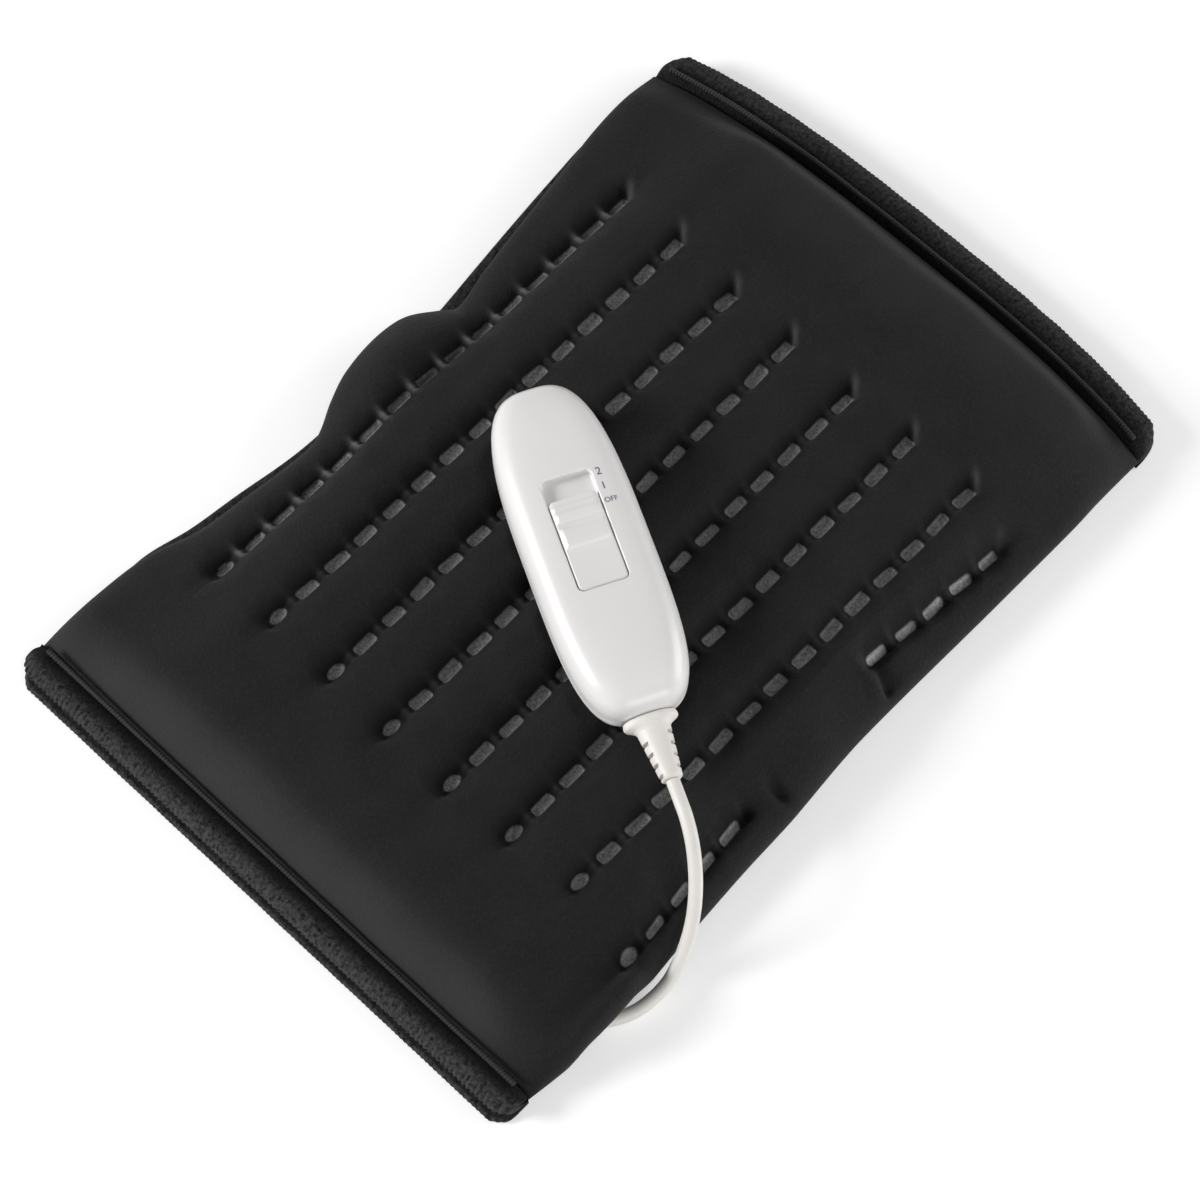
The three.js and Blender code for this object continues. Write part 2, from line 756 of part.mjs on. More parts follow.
// Wire laid to and fro along the ribs, with a half circle at the end of each run.
function heatingRoute() {
  const z = hump_height + wire_level;
  const bend = wire_pitch / 2;
  const bendSteps = 4;
  const route = [
    new THREE.Vector3(lane_x, first_run_y + lane_bend, z),
    new THREE.Vector3(lane_x, first_run_y + lane_bend / 2, z),
    new THREE.Vector3(lane_x - lane_bend, first_run_y, z),
  ];
  for (let run = 0; run < wire_runs; run += 1) {
    const y = first_run_y + wire_pitch * run;
    const leftwards = run % 2 === 0;
    const turnX = leftwards ? run_x0 : run_x1;
    route.push(new THREE.Vector3(leftwards ? run_x1 : run_x0, y, z));
    route.push(new THREE.Vector3(turnX, y, z));
    if (run === wire_runs - 1) break;
    for (let k = 1; k < bendSteps; k += 1) {
      const turn = (Math.PI * k) / bendSteps;
      const out = bend * Math.sin(turn) * (leftwards ? -1 : 1);
      route.push(new THREE.Vector3(turnX + out, y + bend - bend * Math.cos(turn), z));
    }
  }
  route.push(new THREE.Vector3(lane_x - lane_bend, last_run_y, z));
  route.push(new THREE.Vector3(lane_x, last_run_y - lane_bend / 2, z));
  route.push(new THREE.Vector3(lane_x, last_run_y - lane_bend, z));
  return route;
}

function makeHeater() {
  const z0 = hump_height + seam_level;
  const z1 = hump_height + carrier_top;
  const width = carrier_x1 - carrier_x0;
  const length = carrier_y1 - carrier_y0;
  const sheet = roundedBlock(
    width, length, heater_margin, (carrier_x0 + carrier_x1) / 2, (carrier_y0 + carrier_y1) / 2, z0, z1,
  );
  const plateWindow = block(
    box_x0 - gap, box_y - box_width / 2 - gap, z0 - overrun,
    carrier_x1 + overrun, box_y + box_width / 2 + gap, z1 + overrun,
  );
  place(pad, 'heater_carrier', shaped(sheet, [], [plateWindow]), scrim);
  place(pad, 'heating_wire', tubeThrough(heatingRoute(), heating_wire_diameter / 2, 5), wire_red);

  const fuse = lying(thermal_fuse_diameter, lane_x, fuse_y, fuse_y + thermal_fuse_length, fuse_z, 12);
  place(pad, 'thermal_fuse', fuse, steel);
  const thermostat = roundedBlock(
    thermostat_width, thermostat_length, thermostat_width / 4,
    thermostat_x, thermostat_y + thermostat_length / 2,
    hump_height + carrier_top + gap, hump_height + carrier_top + gap + thermostat_height,
  );
  place(pad, 'thermostat', thermostat, black_plastic);
}

// Massage pods: a two-part capsule with a small motor that spins an eccentric weight

function makePod(site) {
  const group = new THREE.Group();
  group.position.set(site.x, site.y, pod_floor + pod_height / 2);
  pad.add(group);
  const half = pod_height / 2;
  const cavity = motor_diameter + 2 * gap;
  const bore = lying(cavity, 0, pod_wall - pod_length / 2, pod_length / 2 - pod_wall, 0, 20);
  const outlet = lying(inner_lead_diameter + 2 * gap, 0, -pod_length / 2 - overrun, 0, 0, 8);
  const base = roundedBlock(pod_width, pod_length, pod_corner, 0, 0, -half, -gap / 2);
  place(group, `pod_base_${site.side}`, shaped(base, [], [bore, outlet]), black_plastic);
  const cover = roundedBlock(pod_width, pod_length, pod_corner, 0, 0, gap / 2, half);
  place(group, `pod_cover_${site.side}`, shaped(cover, [], [bore, outlet]), black_plastic);

  const canStart = pod_wall + gap - pod_length / 2;
  const canEnd = canStart + motor_length;
  const can = lying(motor_diameter, 0, canStart, canEnd, 0, 20);
  const shaftBore = lying(shaft_diameter + 2 * gap, 0, canEnd - shaft_seat - gap, canEnd + overrun, 0, 12);
  place(group, `massage_motor_${site.side}`, shaped(can, [], [shaftBore]), steel);
  const shaftStart = canEnd - shaft_seat;
  const shaft = lying(shaft_diameter, 0, shaftStart, shaftStart + shaft_length, 0, 10);
  place(group, `motor_shaft_${site.side}`, shaft, steel);
  const weightStart = shaftStart + shaft_length - weight_length;
  place(group, `eccentric_weight_${site.side}`, eccentricWeight(weightStart), brass);
}

// Half disc with a round hub, bored for the shaft, spun about y.
function eccentricWeight(start) {
  const end = start + weight_length;
  const hub = weight_diameter / 2;
  const disc = lying(weight_diameter, 0, start, end, 0, 20);
  const upperHalf = block(-hub - gap, start - gap, 0, hub + gap, end + gap, hub + gap);
  const collar = lying(hub, 0, start, end, 0, 16);
  const bore = lying(shaft_diameter + 2 * gap, 0, start - gap, end + gap, 0, 12);
  return shaped(shaped(disc, [], [upperHalf]), [collar], [bore]);
}

// Junction box

function boxScrewSites() {
  const inset = box_wall + box_screw_diameter;
  return [[box_x0 + inset, box_y + box_width / 2 - inset], [box_x1 - inset, box_y - box_width / 2 + inset]];
}

function makeJunctionBox() {
  const x = (box_x0 + box_x1) / 2;
  const outer = roundedBlock(box_length, box_width, box_corner, x, box_y, box_bottom, box_top);
  const room = roundedBlock(
    box_length - 2 * box_wall, box_width - 2 * box_wall, box_corner - box_wall, x, box_y,
    box_floor, box_top + overrun,
  );
  const posts = boxScrewSites().map(([px, py]) => (
    upright(box_screw_diameter + 2 * boss_wall, px, py, box_bottom + box_wall / 2, box_top, 12)
  ));
  const postBores = boxScrewSites().map(([px, py]) => (
    upright(box_screw_diameter + 2 * gap, px, py, box_bottom - overrun, box_top + overrun, 12)
  ));
  const glandHole = lyingAlongX(
    cord_diameter + 2 * gland_wall + 2 * gap,
    box_x0 - overrun, box_x0 + box_wall + overrun, box_y, box_axis_z,
  );
  const socketWay = block(
    box_x1 - box_wall - gap, box_y - socket_body / 2 - gap, box_floor,
    box_x1 + overrun, box_y + socket_body / 2 + gap, box_top + overrun,
  );
  const tray = shaped(shaped(outer, [], [room]), posts, [...postBores, glandHole, socketWay]);
  place(pad, 'junction_box', tray, black_plastic);

  const plateZ = plateau_back_top + gap;
  const plate = roundedBlock(
    box_length, box_width, box_corner, x, box_y, plateZ, plateZ + clamp_plate_thickness,
  );
  const wireHole = upright(wire_hole_diameter, wire_hole_x, box_y, plateZ - overrun, plateZ + overrun);
  const plateBores = boxScrewSites().map(([px, py]) => (
    upright(box_screw_diameter + 2 * gap, px, py, plateZ - overrun, plateZ + overrun, 12)
  ));
  place(pad, 'clamp_plate', shaped(plate, [], [wireHole, ...plateBores]), black_plastic);
  boxScrewSites().forEach(([px, py], i) => {
    const shank = upright(box_screw_diameter, px, py, box_bottom + gap, plateZ + clamp_plate_thickness, 12);
    place(pad, `junction_screw_${i + 1}`, shank, steel);
  });

  const socketBottom = box_floor + gap;
  const socketTop = box_top - gap;
  const socketX0 = box_x1 - socket_length;
  const socketZ = (socketBottom + socketTop) / 2;
  const socketShell = block(
    socketX0, box_y - socket_body / 2, socketBottom, box_x1 + gap, box_y + socket_body / 2, socketTop,
  );
  const bore = lyingAlongX(socket_bore, socketX0 + box_wall, box_x1 + overrun, box_y, socketZ, 20);
  const pin = lyingAlongX(socket_pin, socketX0 + box_wall / 2, box_x1 - gap, box_y, socketZ, 10);
  place(pad, 'supply_socket', shaped(shaped(socketShell, [], [bore]), [pin], []), black_plastic);

  const blockX = socketX0 - gap - box_wall;
  const terminal = block(
    blockX - box_length / 4, box_y - box_width / 5, box_floor + gap,
    blockX, box_y + box_width / 5, box_top - 2 * gap,
  );
  place(pad, 'terminal_block', terminal, white_soft);
}

// Leads inside the pad, laid on the carrier or through their ways in the foam

const inner_lead_z = hump_height + carrier_top + gap + inner_lead_diameter / 2;

function makeInnerLeads() {
  const radius = inner_lead_diameter / 2;
  const at = (x, y, z = inner_lead_z) => new THREE.Vector3(x, y, z);
  const plateTop = plateau_back_top + gap + clamp_plate_thickness + gap + radius;
  const laneSide = carrier_x1 - gap - radius;
  const fuseEnd = fuse_y + thermal_fuse_length + gap;
  const fuseLead = [
    at(lane_x, fuseEnd), at(lane_x, fuseEnd + radius), at(lane_x, box_y - radius, plateTop),
    at(wire_hole_x - 2 * inner_lead_diameter, box_y - radius, plateTop),
  ];
  place(pad, 'heater_lead_fuse', tubeThrough(fuseLead, radius, 6), wire_red);
  const thermostatStart = thermostat_y - gap;
  const thermostatLead = [
    at(lane_x, thermostatStart), at(lane_x, thermostatStart - heater_margin),
    at(lane_x, box_y + box_width / 2 + heater_margin), at(lane_x, box_y + 2 * inner_lead_diameter, plateTop),
    at(wire_hole_x - 2 * inner_lead_diameter, box_y + inner_lead_diameter, plateTop),
  ];
  place(pad, 'heater_lead_thermostat', tubeThrough(thermostatLead, radius, 6), wire_red);

  const [pocketPod, plainPod] = podSites();
  const wayY = pocketPod.y - pod_length / 2 + pod_corner;
  const laneY = (last_run_y + carrier_y1) / 2;
  const backY = pocketPod.y - pod_length / 2 - gap - radius;
  const pocketLead = [
    at(laneSide, box_y + box_width / 2 + inner_lead_diameter), at(laneSide, laneY - heater_margin / 2),
    at(laneSide - heater_margin / 2, laneY), at(run_x0, laneY), at(run_x0 - heater_margin, laneY),
    at(carrier_x0 + inner_lead_diameter, laneY - heater_margin),
    at(carrier_x0 + inner_lead_diameter, wayY + heater_margin / 2),
    at(carrier_x0, wayY), at(pocketPod.x + pod_width / 2 + gap, wayY),
  ];
  place(pad, 'motor_lead_pocket', tubeThrough(pocketLead, radius, 6), black_plastic);
  const plainLead = [
    at(laneSide + 2 * inner_lead_diameter, backY - heater_margin),
    at(laneSide + 2 * inner_lead_diameter, wayY - heater_margin / 4),
    at(plainPod.x - pod_width / 2 - heater_margin / 4, wayY), at(plainPod.x - pod_width / 2 - gap, wayY),
  ];
  place(pad, 'motor_lead_plain', tubeThrough(plainLead, radius, 6), black_plastic);
}

makePadPanels();
makeEndBands();
makePiping();
makeHeater();
podSites().forEach(makePod);
makeJunctionBox();
makeInnerLeads();

// Hand control, in its own frame: y towards its round nose, z up from the parting line

const handset = new THREE.Group();
handset.position.set(handset_x, handset_y, handset_z);
handset.rotation.z = handset_turn;
pad.add(handset);

// Inset from the outline and height of the moulding's side, as shares of half the width and of the height
const top_profile_shares = [
  [0, 0], [0, 0.26], [0.015, 0.43], [0.06, 0.6], [0.14, 0.755], [0.27, 0.88], [0.44, 0.95], [0.66, 0.985],
  [0.86, 1],
];
const base_profile_shares = [
  [0, 0], [0.01, 0.25], [0.05, 0.5], [0.13, 0.72], [0.26, 0.9], [0.42, 1], [0.7, 1],
];
const outline_steps = 44;

function outlineRing(inset, z) {
  const a = handset_width / 2 - inset;
  const b = handset_length / 2 - inset;
  return Array.from({ length: outline_steps }, (_, k) => {
    const turn = (2 * Math.PI * (k + 1 / 2)) / outline_steps;
    const c = Math.cos(turn);
    const s = Math.sin(turn);
    const power = 2 / (s > 0 ? nose_exponent : tail_exponent);
    const x = Math.sign(c) * Math.abs(c) ** power * a;
    const y = Math.sign(s) * Math.abs(s) ** power * b;
    return new THREE.Vector3(x, y, z);
  });
}

// Open shell: from the middle of its inner face out to the rim, and back over its outer face.
function mouldedShell(shares, height, direction) {
  const half = handset_width / 2;
  const rim = (direction * gap) / 2;
  const outer = shares.map(([inset, rise]) => (
    outlineRing(inset * half, rim + direction * rise * (height - gap / 2))
  ));
  const innerHeight = height - handset_wall;
  const inner = shares.map(([inset, rise]) => outlineRing(
    handset_wall + inset * (half - handset_wall),
    rim + direction * rise * (innerHeight - gap / 2),
  ));
  return loft([...inner.reverse(), ...outer]);
}

const window_length = slider_length + slider_travel + 2 * gap;
const window_floor = handset_top_height - window_depth;
const tray_bottom = window_floor - tray_floor;
const window_low = window_offset - window_length / 2;
const slider_low = window_low + gap;
const grip_low = slider_low + slider_length - grip_length;
const stem_y = slider_low + slider_length / 2;
const slot_low = stem_y - stem_length / 2 - gap;
const slot_length = stem_length + slider_travel + 2 * gap;
const nose_screw_y = handset_length / 2 - nose_screw_inset;
const tail_screw_y = -handset_length / 2 + tail_screw_inset;
const tail_screw_x = handset_width / 2 - handset_wall - handset_screw_head - boss_wall;
const screw_sites = [[0, nose_screw_y], [-tail_screw_x, tail_screw_y], [tail_screw_x, tail_screw_y]];
const board_top = gap / 2;
const board_bottom = board_top - board_thickness;
const switch_bottom = board_top + gap;
const switch_top = switch_bottom + switch_base_height;
const carriage_top = tray_bottom - gap;
const carriage_bottom = carriage_top - carriage_height;
const contact_z = switch_top + gap;
const exit_y = -handset_length / 2;

function makeHandsetShells() {
  const topShell = mouldedShell(top_profile_shares, handset_top_height, 1);
  const trayBlock = roundedBlock(
    window_width + 2 * tray_wall, window_length + 2 * tray_wall, window_corner + tray_wall, 0, window_offset,
    tray_bottom, handset_top_height - handset_wall / 2,
  );
  const bossDiameter = handset_screw_diameter + 2 * gap + 2 * boss_wall;
  const topBosses = screw_sites.map(([x, y]) => (
    upright(bossDiameter, x, y, gap / 2, handset_top_height - handset_wall - gap)
  ));
  const pocket = roundedBlock(
    window_width, window_length, window_corner, 0, window_offset, window_floor, handset_top_height + overrun,
  );
  const slot = block(
    -stem_width / 2 - gap, slot_low, tray_bottom - overrun,
    stem_width / 2 + gap, slot_low + slot_length, window_floor + overrun,
  );
  const screwBores = screw_sites.map(([x, y]) => (
    upright(handset_screw_diameter + 2 * gap, x, y, -overrun, screwTop() + gap, 12)
  ));
  const neckHole = lying(relief_neck + 2 * gap, 0, exit_y - overrun, exit_y + 3 * handset_wall, 0);
  place(
    handset, 'handset_top_shell',
    shaped(topShell, [trayBlock, ...topBosses], [pocket, slot, neckHole, ...screwBores]), white_gloss,
  );

  const baseShell = mouldedShell(base_profile_shares, handset_base_height, -1);
  const innerFloor = -handset_base_height + handset_wall;
  const baseBosses = screw_sites.map(([x, y]) => (
    upright(handset_screw_head + 2 * gap + boss_wall, x, y, innerFloor - handset_wall / 2, -gap / 2)
  ));
  const headBores = screw_sites.map(([x, y]) => (
    upright(handset_screw_head + 2 * gap, x, y, -handset_base_height - overrun, screwSeat() - gap)
  ));
  const shankBores = screw_sites.map(([x, y]) => (
    upright(handset_screw_diameter + 2 * gap, x, y, -handset_base_height - overrun, overrun, 12)
  ));
  const pillars = boardPillars().map(([x, y]) => (
    upright(handset_wall, x, y, innerFloor - handset_wall / 2, board_bottom - gap, 10)
  ));
  place(
    handset, 'handset_base_shell',
    shaped(baseShell, [...baseBosses, ...pillars], [neckHole, ...headBores, ...shankBores]), white_gloss,
  );
}

function screwSeat() {
  return -handset_base_height + screw_seat_rise;
}

function screwTop() {
  return screwSeat() - handset_screw_head / 3 + handset_screw_length;
}

function boardPillars() {
  const x = board_width / 2 - handset_wall;
  const y = board_length / 2 - handset_wall;
  return [[-x, window_offset - y], [x, window_offset - y], [-x, window_offset + y], [x, window_offset + y]];
}

function makeHandsetScrews() {
  screw_sites.forEach(([x, y], i) => {
    const seat = screwSeat();
    const head = upright(handset_screw_head, x, y, seat - gap - handset_screw_head / 3, seat - 2 * gap);
    const shank = upright(handset_screw_diameter, x, y, seat - handset_screw_head / 3, screwTop(), 12);
    place(handset, `handset_screw_${i + 1}`, shaped(head, [shank], []), steel);
  });
}

// Side view of the grip, from the flat skirt up: two ridges beside a deep finger groove, then a low step.
const grip_shares = [
  [0, 0], [0.03, 0.7], [0.09, 0.95], [0.3, 1], [0.37, 0.9], [0.43, 0.25], [0.52, 0.2], [0.57, 0.9],
  [0.65, 1], [0.71, 0.85], [0.745, 0.45], [0.84, 0.55], [0.87, 0.3], [0.96, 0.35], [1, 0],
];

function makeSlider() {
  const z0 = window_floor + gap;
  const z1 = z0 + slider_plate;
  const width = window_width - 2 * gap;
  const plate = roundedBlock(
    width, slider_length, window_corner - gap, 0, slider_low + slider_length / 2, z0, z1,
  );
  const gripPoints = grip_shares.map(([along, rise]) => [
    grip_low + along * (grip_length - gap), z1 - gap + rise * (grip_height + gap),
  ]);
  const inset = window_corner / 2;
  const grip = profileAcross(gripPoints, inset - width / 2, width / 2 - inset);
  const stem = block(
    -stem_width / 2, stem_y - stem_length / 2, carriage_bottom + gap,
    stem_width / 2, stem_y + stem_length / 2, z0 + gap,
  );
  place(handset, 'slider_knob', shaped(plate, [grip, stem], []), white_gloss);

  const carriage = block(
    -carriage_width / 2, stem_y - carriage_length / 2, carriage_bottom,
    carriage_width / 2, stem_y + carriage_length / 2, carriage_top,
  );
  const socket = block(
    -stem_width / 2 - gap, stem_y - stem_length / 2 - gap, carriage_bottom - overrun,
    stem_width / 2 + gap, stem_y + stem_length / 2 + gap, carriage_top + overrun,
  );
  place(handset, 'slider_carriage', shaped(carriage, [], [socket]), black_plastic);

  const footZ = contact_z + contact_thickness + gap;
  const half = carriage_length / 2 - gap;
  const strip = [
    [stem_y - half, carriage_bottom - gap], [stem_y - half, carriage_bottom - gap - bridge_thickness],
    [stem_y - half / 2, carriage_bottom - gap - bridge_thickness], [stem_y - half / 4, footZ],
    [stem_y + half / 4, footZ], [stem_y + half / 2, carriage_bottom - gap - bridge_thickness],
    [stem_y + half, carriage_bottom - gap - bridge_thickness], [stem_y + half, carriage_bottom - gap],
    [stem_y + half / 2 - bridge_thickness, carriage_bottom - gap],
    [stem_y + half / 4 - bridge_thickness / 2, footZ + bridge_thickness],
    [stem_y - half / 4 + bridge_thickness / 2, footZ + bridge_thickness],
    [stem_y - half / 2 + bridge_thickness, carriage_bottom - gap],
  ];
  const bridgeHalf = carriage_width / 2 - rail_thickness;
  place(handset, 'contact_bridge', profileAcross(strip, -bridgeHalf, bridgeHalf), brass);
}

function makeSwitchAndBoard() {
  const railGap = carriage_width / 2 + gap;
  const reach = carriage_length / 2 + slider_travel + 2 * rail_thickness;
  const baseBlock = block(
    -railGap - rail_thickness, stem_y - carriage_length / 2 - 2 * rail_thickness, switch_bottom,
    railGap + rail_thickness, stem_y + reach, switch_top,
  );
  const rails = [-1, 1].map((side) => block(
    Math.min(side * railGap, side * (railGap + rail_thickness)),
    stem_y - carriage_length / 2 - 2 * rail_thickness, switch_top - gap,
    Math.max(side * railGap, side * (railGap + rail_thickness)),
    stem_y + reach, carriage_bottom + carriage_height / 2,
  ));
  place(handset, 'switch_base', shaped(baseBlock, rails, []), black_plastic);

  const lane = carriage_width / 4;
  const padWidth = carriage_width / 5;
  const z1 = contact_z + contact_thickness;
  const low = stem_y - carriage_length / 4;
  const high = stem_y + slider_travel + carriage_length / 4;
  const common = block(-lane - padWidth / 2, low, contact_z, padWidth / 2 - lane, high, z1);
  place(handset, 'contact_common', common, brass);
  ['one', 'two'].forEach((step, i) => {
    const centre = stem_y + (slider_travel * (i + 1)) / 2;
    const half = slider_travel / 5;
    const stud = block(lane - padWidth / 2, centre - half, contact_z, lane + padWidth / 2, centre + half, z1);
    place(handset, `contact_step_${step}`, stud, brass);
  });

  const board = roundedBlock(
    board_width, board_length, handset_wall, 0, window_offset, board_bottom, board_top,
  );
  place(handset, 'circuit_board', board, green_board);
}

// Strain relief: an oval collar that flares out of a taper, slit from both sides so that it bends.
function makeStrainRelief() {
  const start = exit_y - gap;
  const tip = start - relief_length;
  const collarEnd = relief_length / 10;
  const shoulder = relief_length / 5;
  const ring = (y, width, height) => Array.from({ length: 16 }, (_, k) => {
    const turn = (2 * Math.PI * (k + 1 / 2)) / 16;
    return new THREE.Vector3((width / 2) * Math.cos(turn), y, (height / 2) * Math.sin(turn));
  });
  const waist = relief_collar_width * relief_waist_width_share;
  const waistHeight = relief_collar_height * relief_waist_height_share;
  const rings = [
    ring(start, relief_collar_width, relief_collar_height),
    ring(start - collarEnd, relief_collar_width, relief_collar_height),
    ring(start - shoulder, waist, waistHeight),
    ring(tip + gap, relief_tip, relief_tip),
    ring(tip, relief_tip - gap, relief_tip - gap),
  ];
  const slitRoom = (relief_length - shoulder) / (relief_slits + 1 / 2);
  const slits = [];
  for (let k = 0; k < relief_slits; k += 1) {
    [-1, 1].forEach((side) => {
      const along = shoulder + slitRoom * (k + (side > 0 ? 1 / 2 : 1));
      const half = between([shoulder, relief_length], [waist / 2, relief_tip / 2], along);
      const inner = half * relief_core_share;
      const outer = half + overrun;
      slits.push(block(
        Math.min(side * inner, side * outer), start - along, -relief_collar_height,
        Math.max(side * inner, side * outer), start - along + relief_slit_width, relief_collar_height,
      ));
    });
  }
  const neck = lying(relief_neck, 0, start - gap, exit_y + 3 * handset_wall, 0);
  const anchorY = exit_y + 2 * handset_wall;
  const anchor = lying(relief_neck + 2 * gap + boss_wall / 2, 0, anchorY, anchorY + handset_wall, 0);
  place(handset, 'strain_relief', shaped(loft(rings), [neck, anchor], slits), white_soft);

  const coreStart = exit_y + 3 * handset_wall + gap;
  const coreEnd = window_offset - board_length / 2 - gap;
  ['a', 'b', 'c'].forEach((label, i) => {
    const x = (i - 1) * conductor_pitch;
    const z = (board_top + board_bottom) / 2;
    const route = [
      new THREE.Vector3(x, coreStart, 0), new THREE.Vector3(x, coreStart + conductor_diameter, 0),
      new THREE.Vector3(2 * x, coreEnd - conductor_diameter, z), new THREE.Vector3(2 * x, coreEnd, z),
    ];
    place(handset, `conductor_${label}`, tubeThrough(route, conductor_diameter / 2, 6), wire_red);
  });
}

makeHandsetShells();
makeHandsetScrews();
makeSlider();
makeSwitchAndBoard();
makeStrainRelief();

// Lead: over the near edge, under the pad, wound into a coil, and into the junction box

const coil_pitch = cord_diameter + coil_gap;
const coil_outer = coil_mean_radius + (coil_pitch * coil_turns) / 4;
const coil_x = rows_centre_x;
const coil_y = box_y + coil_outer;
const coil_low_z = tie_thickness + gap + cord_diameter / 2;

function coilPoint(turn) {
  const total = 2 * Math.PI * coil_turns;
  const middle = total / 2;
  const radius = coil_outer - (coil_pitch * (middle - Math.abs(turn - middle))) / (2 * Math.PI);
  const climb = smooth((turn - middle + Math.PI / 2) / Math.PI);
  const angle = turn - Math.PI / 2;
  return new THREE.Vector3(
    coil_x + radius * Math.cos(angle), coil_y + radius * Math.sin(angle), coil_low_z + coil_pitch * climb,
  );
}

function makeCoil() {
  const steps = coil_turns * coil_steps_per_turn;
  const points = stretch(0, 2 * Math.PI * coil_turns, steps).map(coilPoint);
  const first = points[0];
  const last = points[steps];
  const route = [
    new THREE.Vector3(first.x - cord_diameter, first.y, first.z),
    ...points,
    new THREE.Vector3(last.x + cord_diameter, last.y, last.z),
  ];
  let least = Infinity;
  const apart = coil_steps_per_turn / 2;
  for (let i = 0; i < points.length; i += 1) {
    for (let j = i + apart; j < points.length; j += 1) {
      least = Math.min(least, points[i].distanceTo(points[j]));
    }
  }
  console.log(`least gap of the wound lead to itself: ${(least - cord_diameter).toFixed(2)} mm`);
  place(pad, 'handset_cord_coil', tubeThrough(route, cord_diameter / 2, 6), white_soft);

  const inner = coil_outer - (coil_pitch * coil_turns) / 2 - cord_diameter / 2 - gap;
  const outer = coil_outer + cord_diameter / 2 + gap;
  const top = coil_low_z + coil_pitch + cord_diameter / 2 + gap;
  const band = block(
    coil_x - tie_width / 2, coil_y + inner - tie_thickness, 0,
    coil_x + tie_width / 2, coil_y + outer + tie_thickness, top + tie_thickness,
  );
  const hole = block(
    coil_x - tie_width, coil_y + inner, tie_thickness, coil_x + tie_width, coil_y + outer, top,
  );
  place(pad, 'cord_tie', shaped(band, [], [hole]), black_plastic);
}

// Route of the free lead from the strain relief to the coil, chosen by hand.
const cord_points = [
  [-56.2, -82.8, 36.8],
  [-58.4, -87, 36.5],
  [-62.1, -92.9, 34.8],
  [-66.2, -98.2, 31.4],
  [-70.6, -102.8, 26.6],
  [-75.4, -106.6, 20.6],
  [-80.6, -109.4, 14.6],
  [-86.4, -111.4, 9.4],
  [-92.6, -112.6, 5.6],
  [-99.2, -112.4, 3.4],
  [-106, -111, 2.5],
  [-112.6, -107.6, 2.4],
  [-118, -102.8, 2.4],
  [-120.8, -96.4, 2.4],
  [-120.2, -89.6, 2.4],
  [-116.4, -83.8, 2.4],
  [-110, -79.6, 2.4],
  [-101.6, -76.4, 2.4],
];
const tail_clearance = 5;

function cordRoute(exit) {
  const entry = coilPoint(0);
  const [x, y, z] = cord_points[cord_points.length - 1];
  const approach = [
    new THREE.Vector3((2 * x + entry.x) / 3, (2 * y + entry.y) / 3 - tail_clearance / 2, z),
    new THREE.Vector3((x + 2 * entry.x) / 3, (y + 5 * entry.y) / 6, (z + entry.z) / 2),
  ];
  const joint = new THREE.Vector3(entry.x - cord_diameter - gap, entry.y, entry.z);
  return [
    exit,
    ...cord_points.map((point) => new THREE.Vector3(...point)),
    ...approach,
    joint.clone().setX(joint.x - 2 * cord_diameter),
    joint,
  ];
}

function cordSection() {
  const shape = new THREE.Shape();
  shape.absarc(0, 0, cord_diameter / 2, 0, 2 * Math.PI);
  return shape;
}

function cordTube(points, steps) {
  const path = new THREE.CatmullRomCurve3(points, false, 'centripetal');
  return new THREE.ExtrudeGeometry(cordSection(), {
    steps, bevelEnabled: false, extrudePath: path, curveSegments: 5,
  });
}

function makeCord() {
  const along = new THREE.Vector3(0, -1, 0).applyEuler(handset.rotation);
  const exit = new THREE.Vector3(handset_x, handset_y, handset_z)
    .addScaledVector(along, handset_length / 2 + relief_length + 2 * gap);
  const route = cordRoute(exit);
  place(pad, 'handset_cord', cordTube(route, 30), white_soft);

  const leave = coilPoint(2 * Math.PI * coil_turns);
  const glandTip = box_x0 - gland_length;
  const tail = [
    new THREE.Vector3(leave.x + cord_diameter + gap, leave.y, leave.z),
    new THREE.Vector3(leave.x + 2 * cord_diameter + gap, leave.y, leave.z),
    new THREE.Vector3((2 * leave.x + glandTip) / 3, leave.y, (leave.z + cord_diameter / 2) / 2 + gap),
    new THREE.Vector3((leave.x + glandTip) / 2, box_y, cord_diameter / 2 + gap),
    new THREE.Vector3(glandTip - 3 * cord_diameter, box_y, (box_axis_z + cord_diameter) / 2),
    new THREE.Vector3(glandTip - cord_diameter - gap, box_y, box_axis_z),
    new THREE.Vector3(glandTip - gap, box_y, box_axis_z),
  ];
  place(pad, 'handset_cord_tail', cordTube(tail, 12), white_soft);
}

// Gland of the junction box: a tapered sleeve with a flange behind the wall.
function makeGland() {
  const big = cord_diameter / 2 + gland_wall;
  const small = (cord_diameter + gland_wall) / 2;
  const full = gland_length + box_wall + gap;
  const profile = [
    [0, 0], [small, 0], [small + gap, gland_length / 3],
    [big, (2 * gland_length) / 3], [big, full], [0, full],
  ];
  const sleeve = new THREE.LatheGeometry(profile.map(([r, y]) => new THREE.Vector2(r, y)), 16)
    .rotateZ(-Math.PI / 2)
    .translate(box_x0 - gland_length, box_y, box_axis_z);
  const flangeX = box_x0 + box_wall + gap;
  const flangeEnd = flangeX + gland_flange;
  const flange = lyingAlongX(2 * big + gland_flange, flangeX, flangeEnd, box_y, box_axis_z);
  const collar = lyingAlongX(2 * big, flangeX - 2 * gap, flangeEnd - gap, box_y, box_axis_z);
  place(pad, 'pad_gland', shaped(sleeve, [collar, flange], []), black_plastic);
}

makeCoil();
makeCord();
makeGland();

export default pad;
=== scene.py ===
import logging
import math
from collections.abc import Callable
from dataclasses import dataclass, field
from enum import Enum

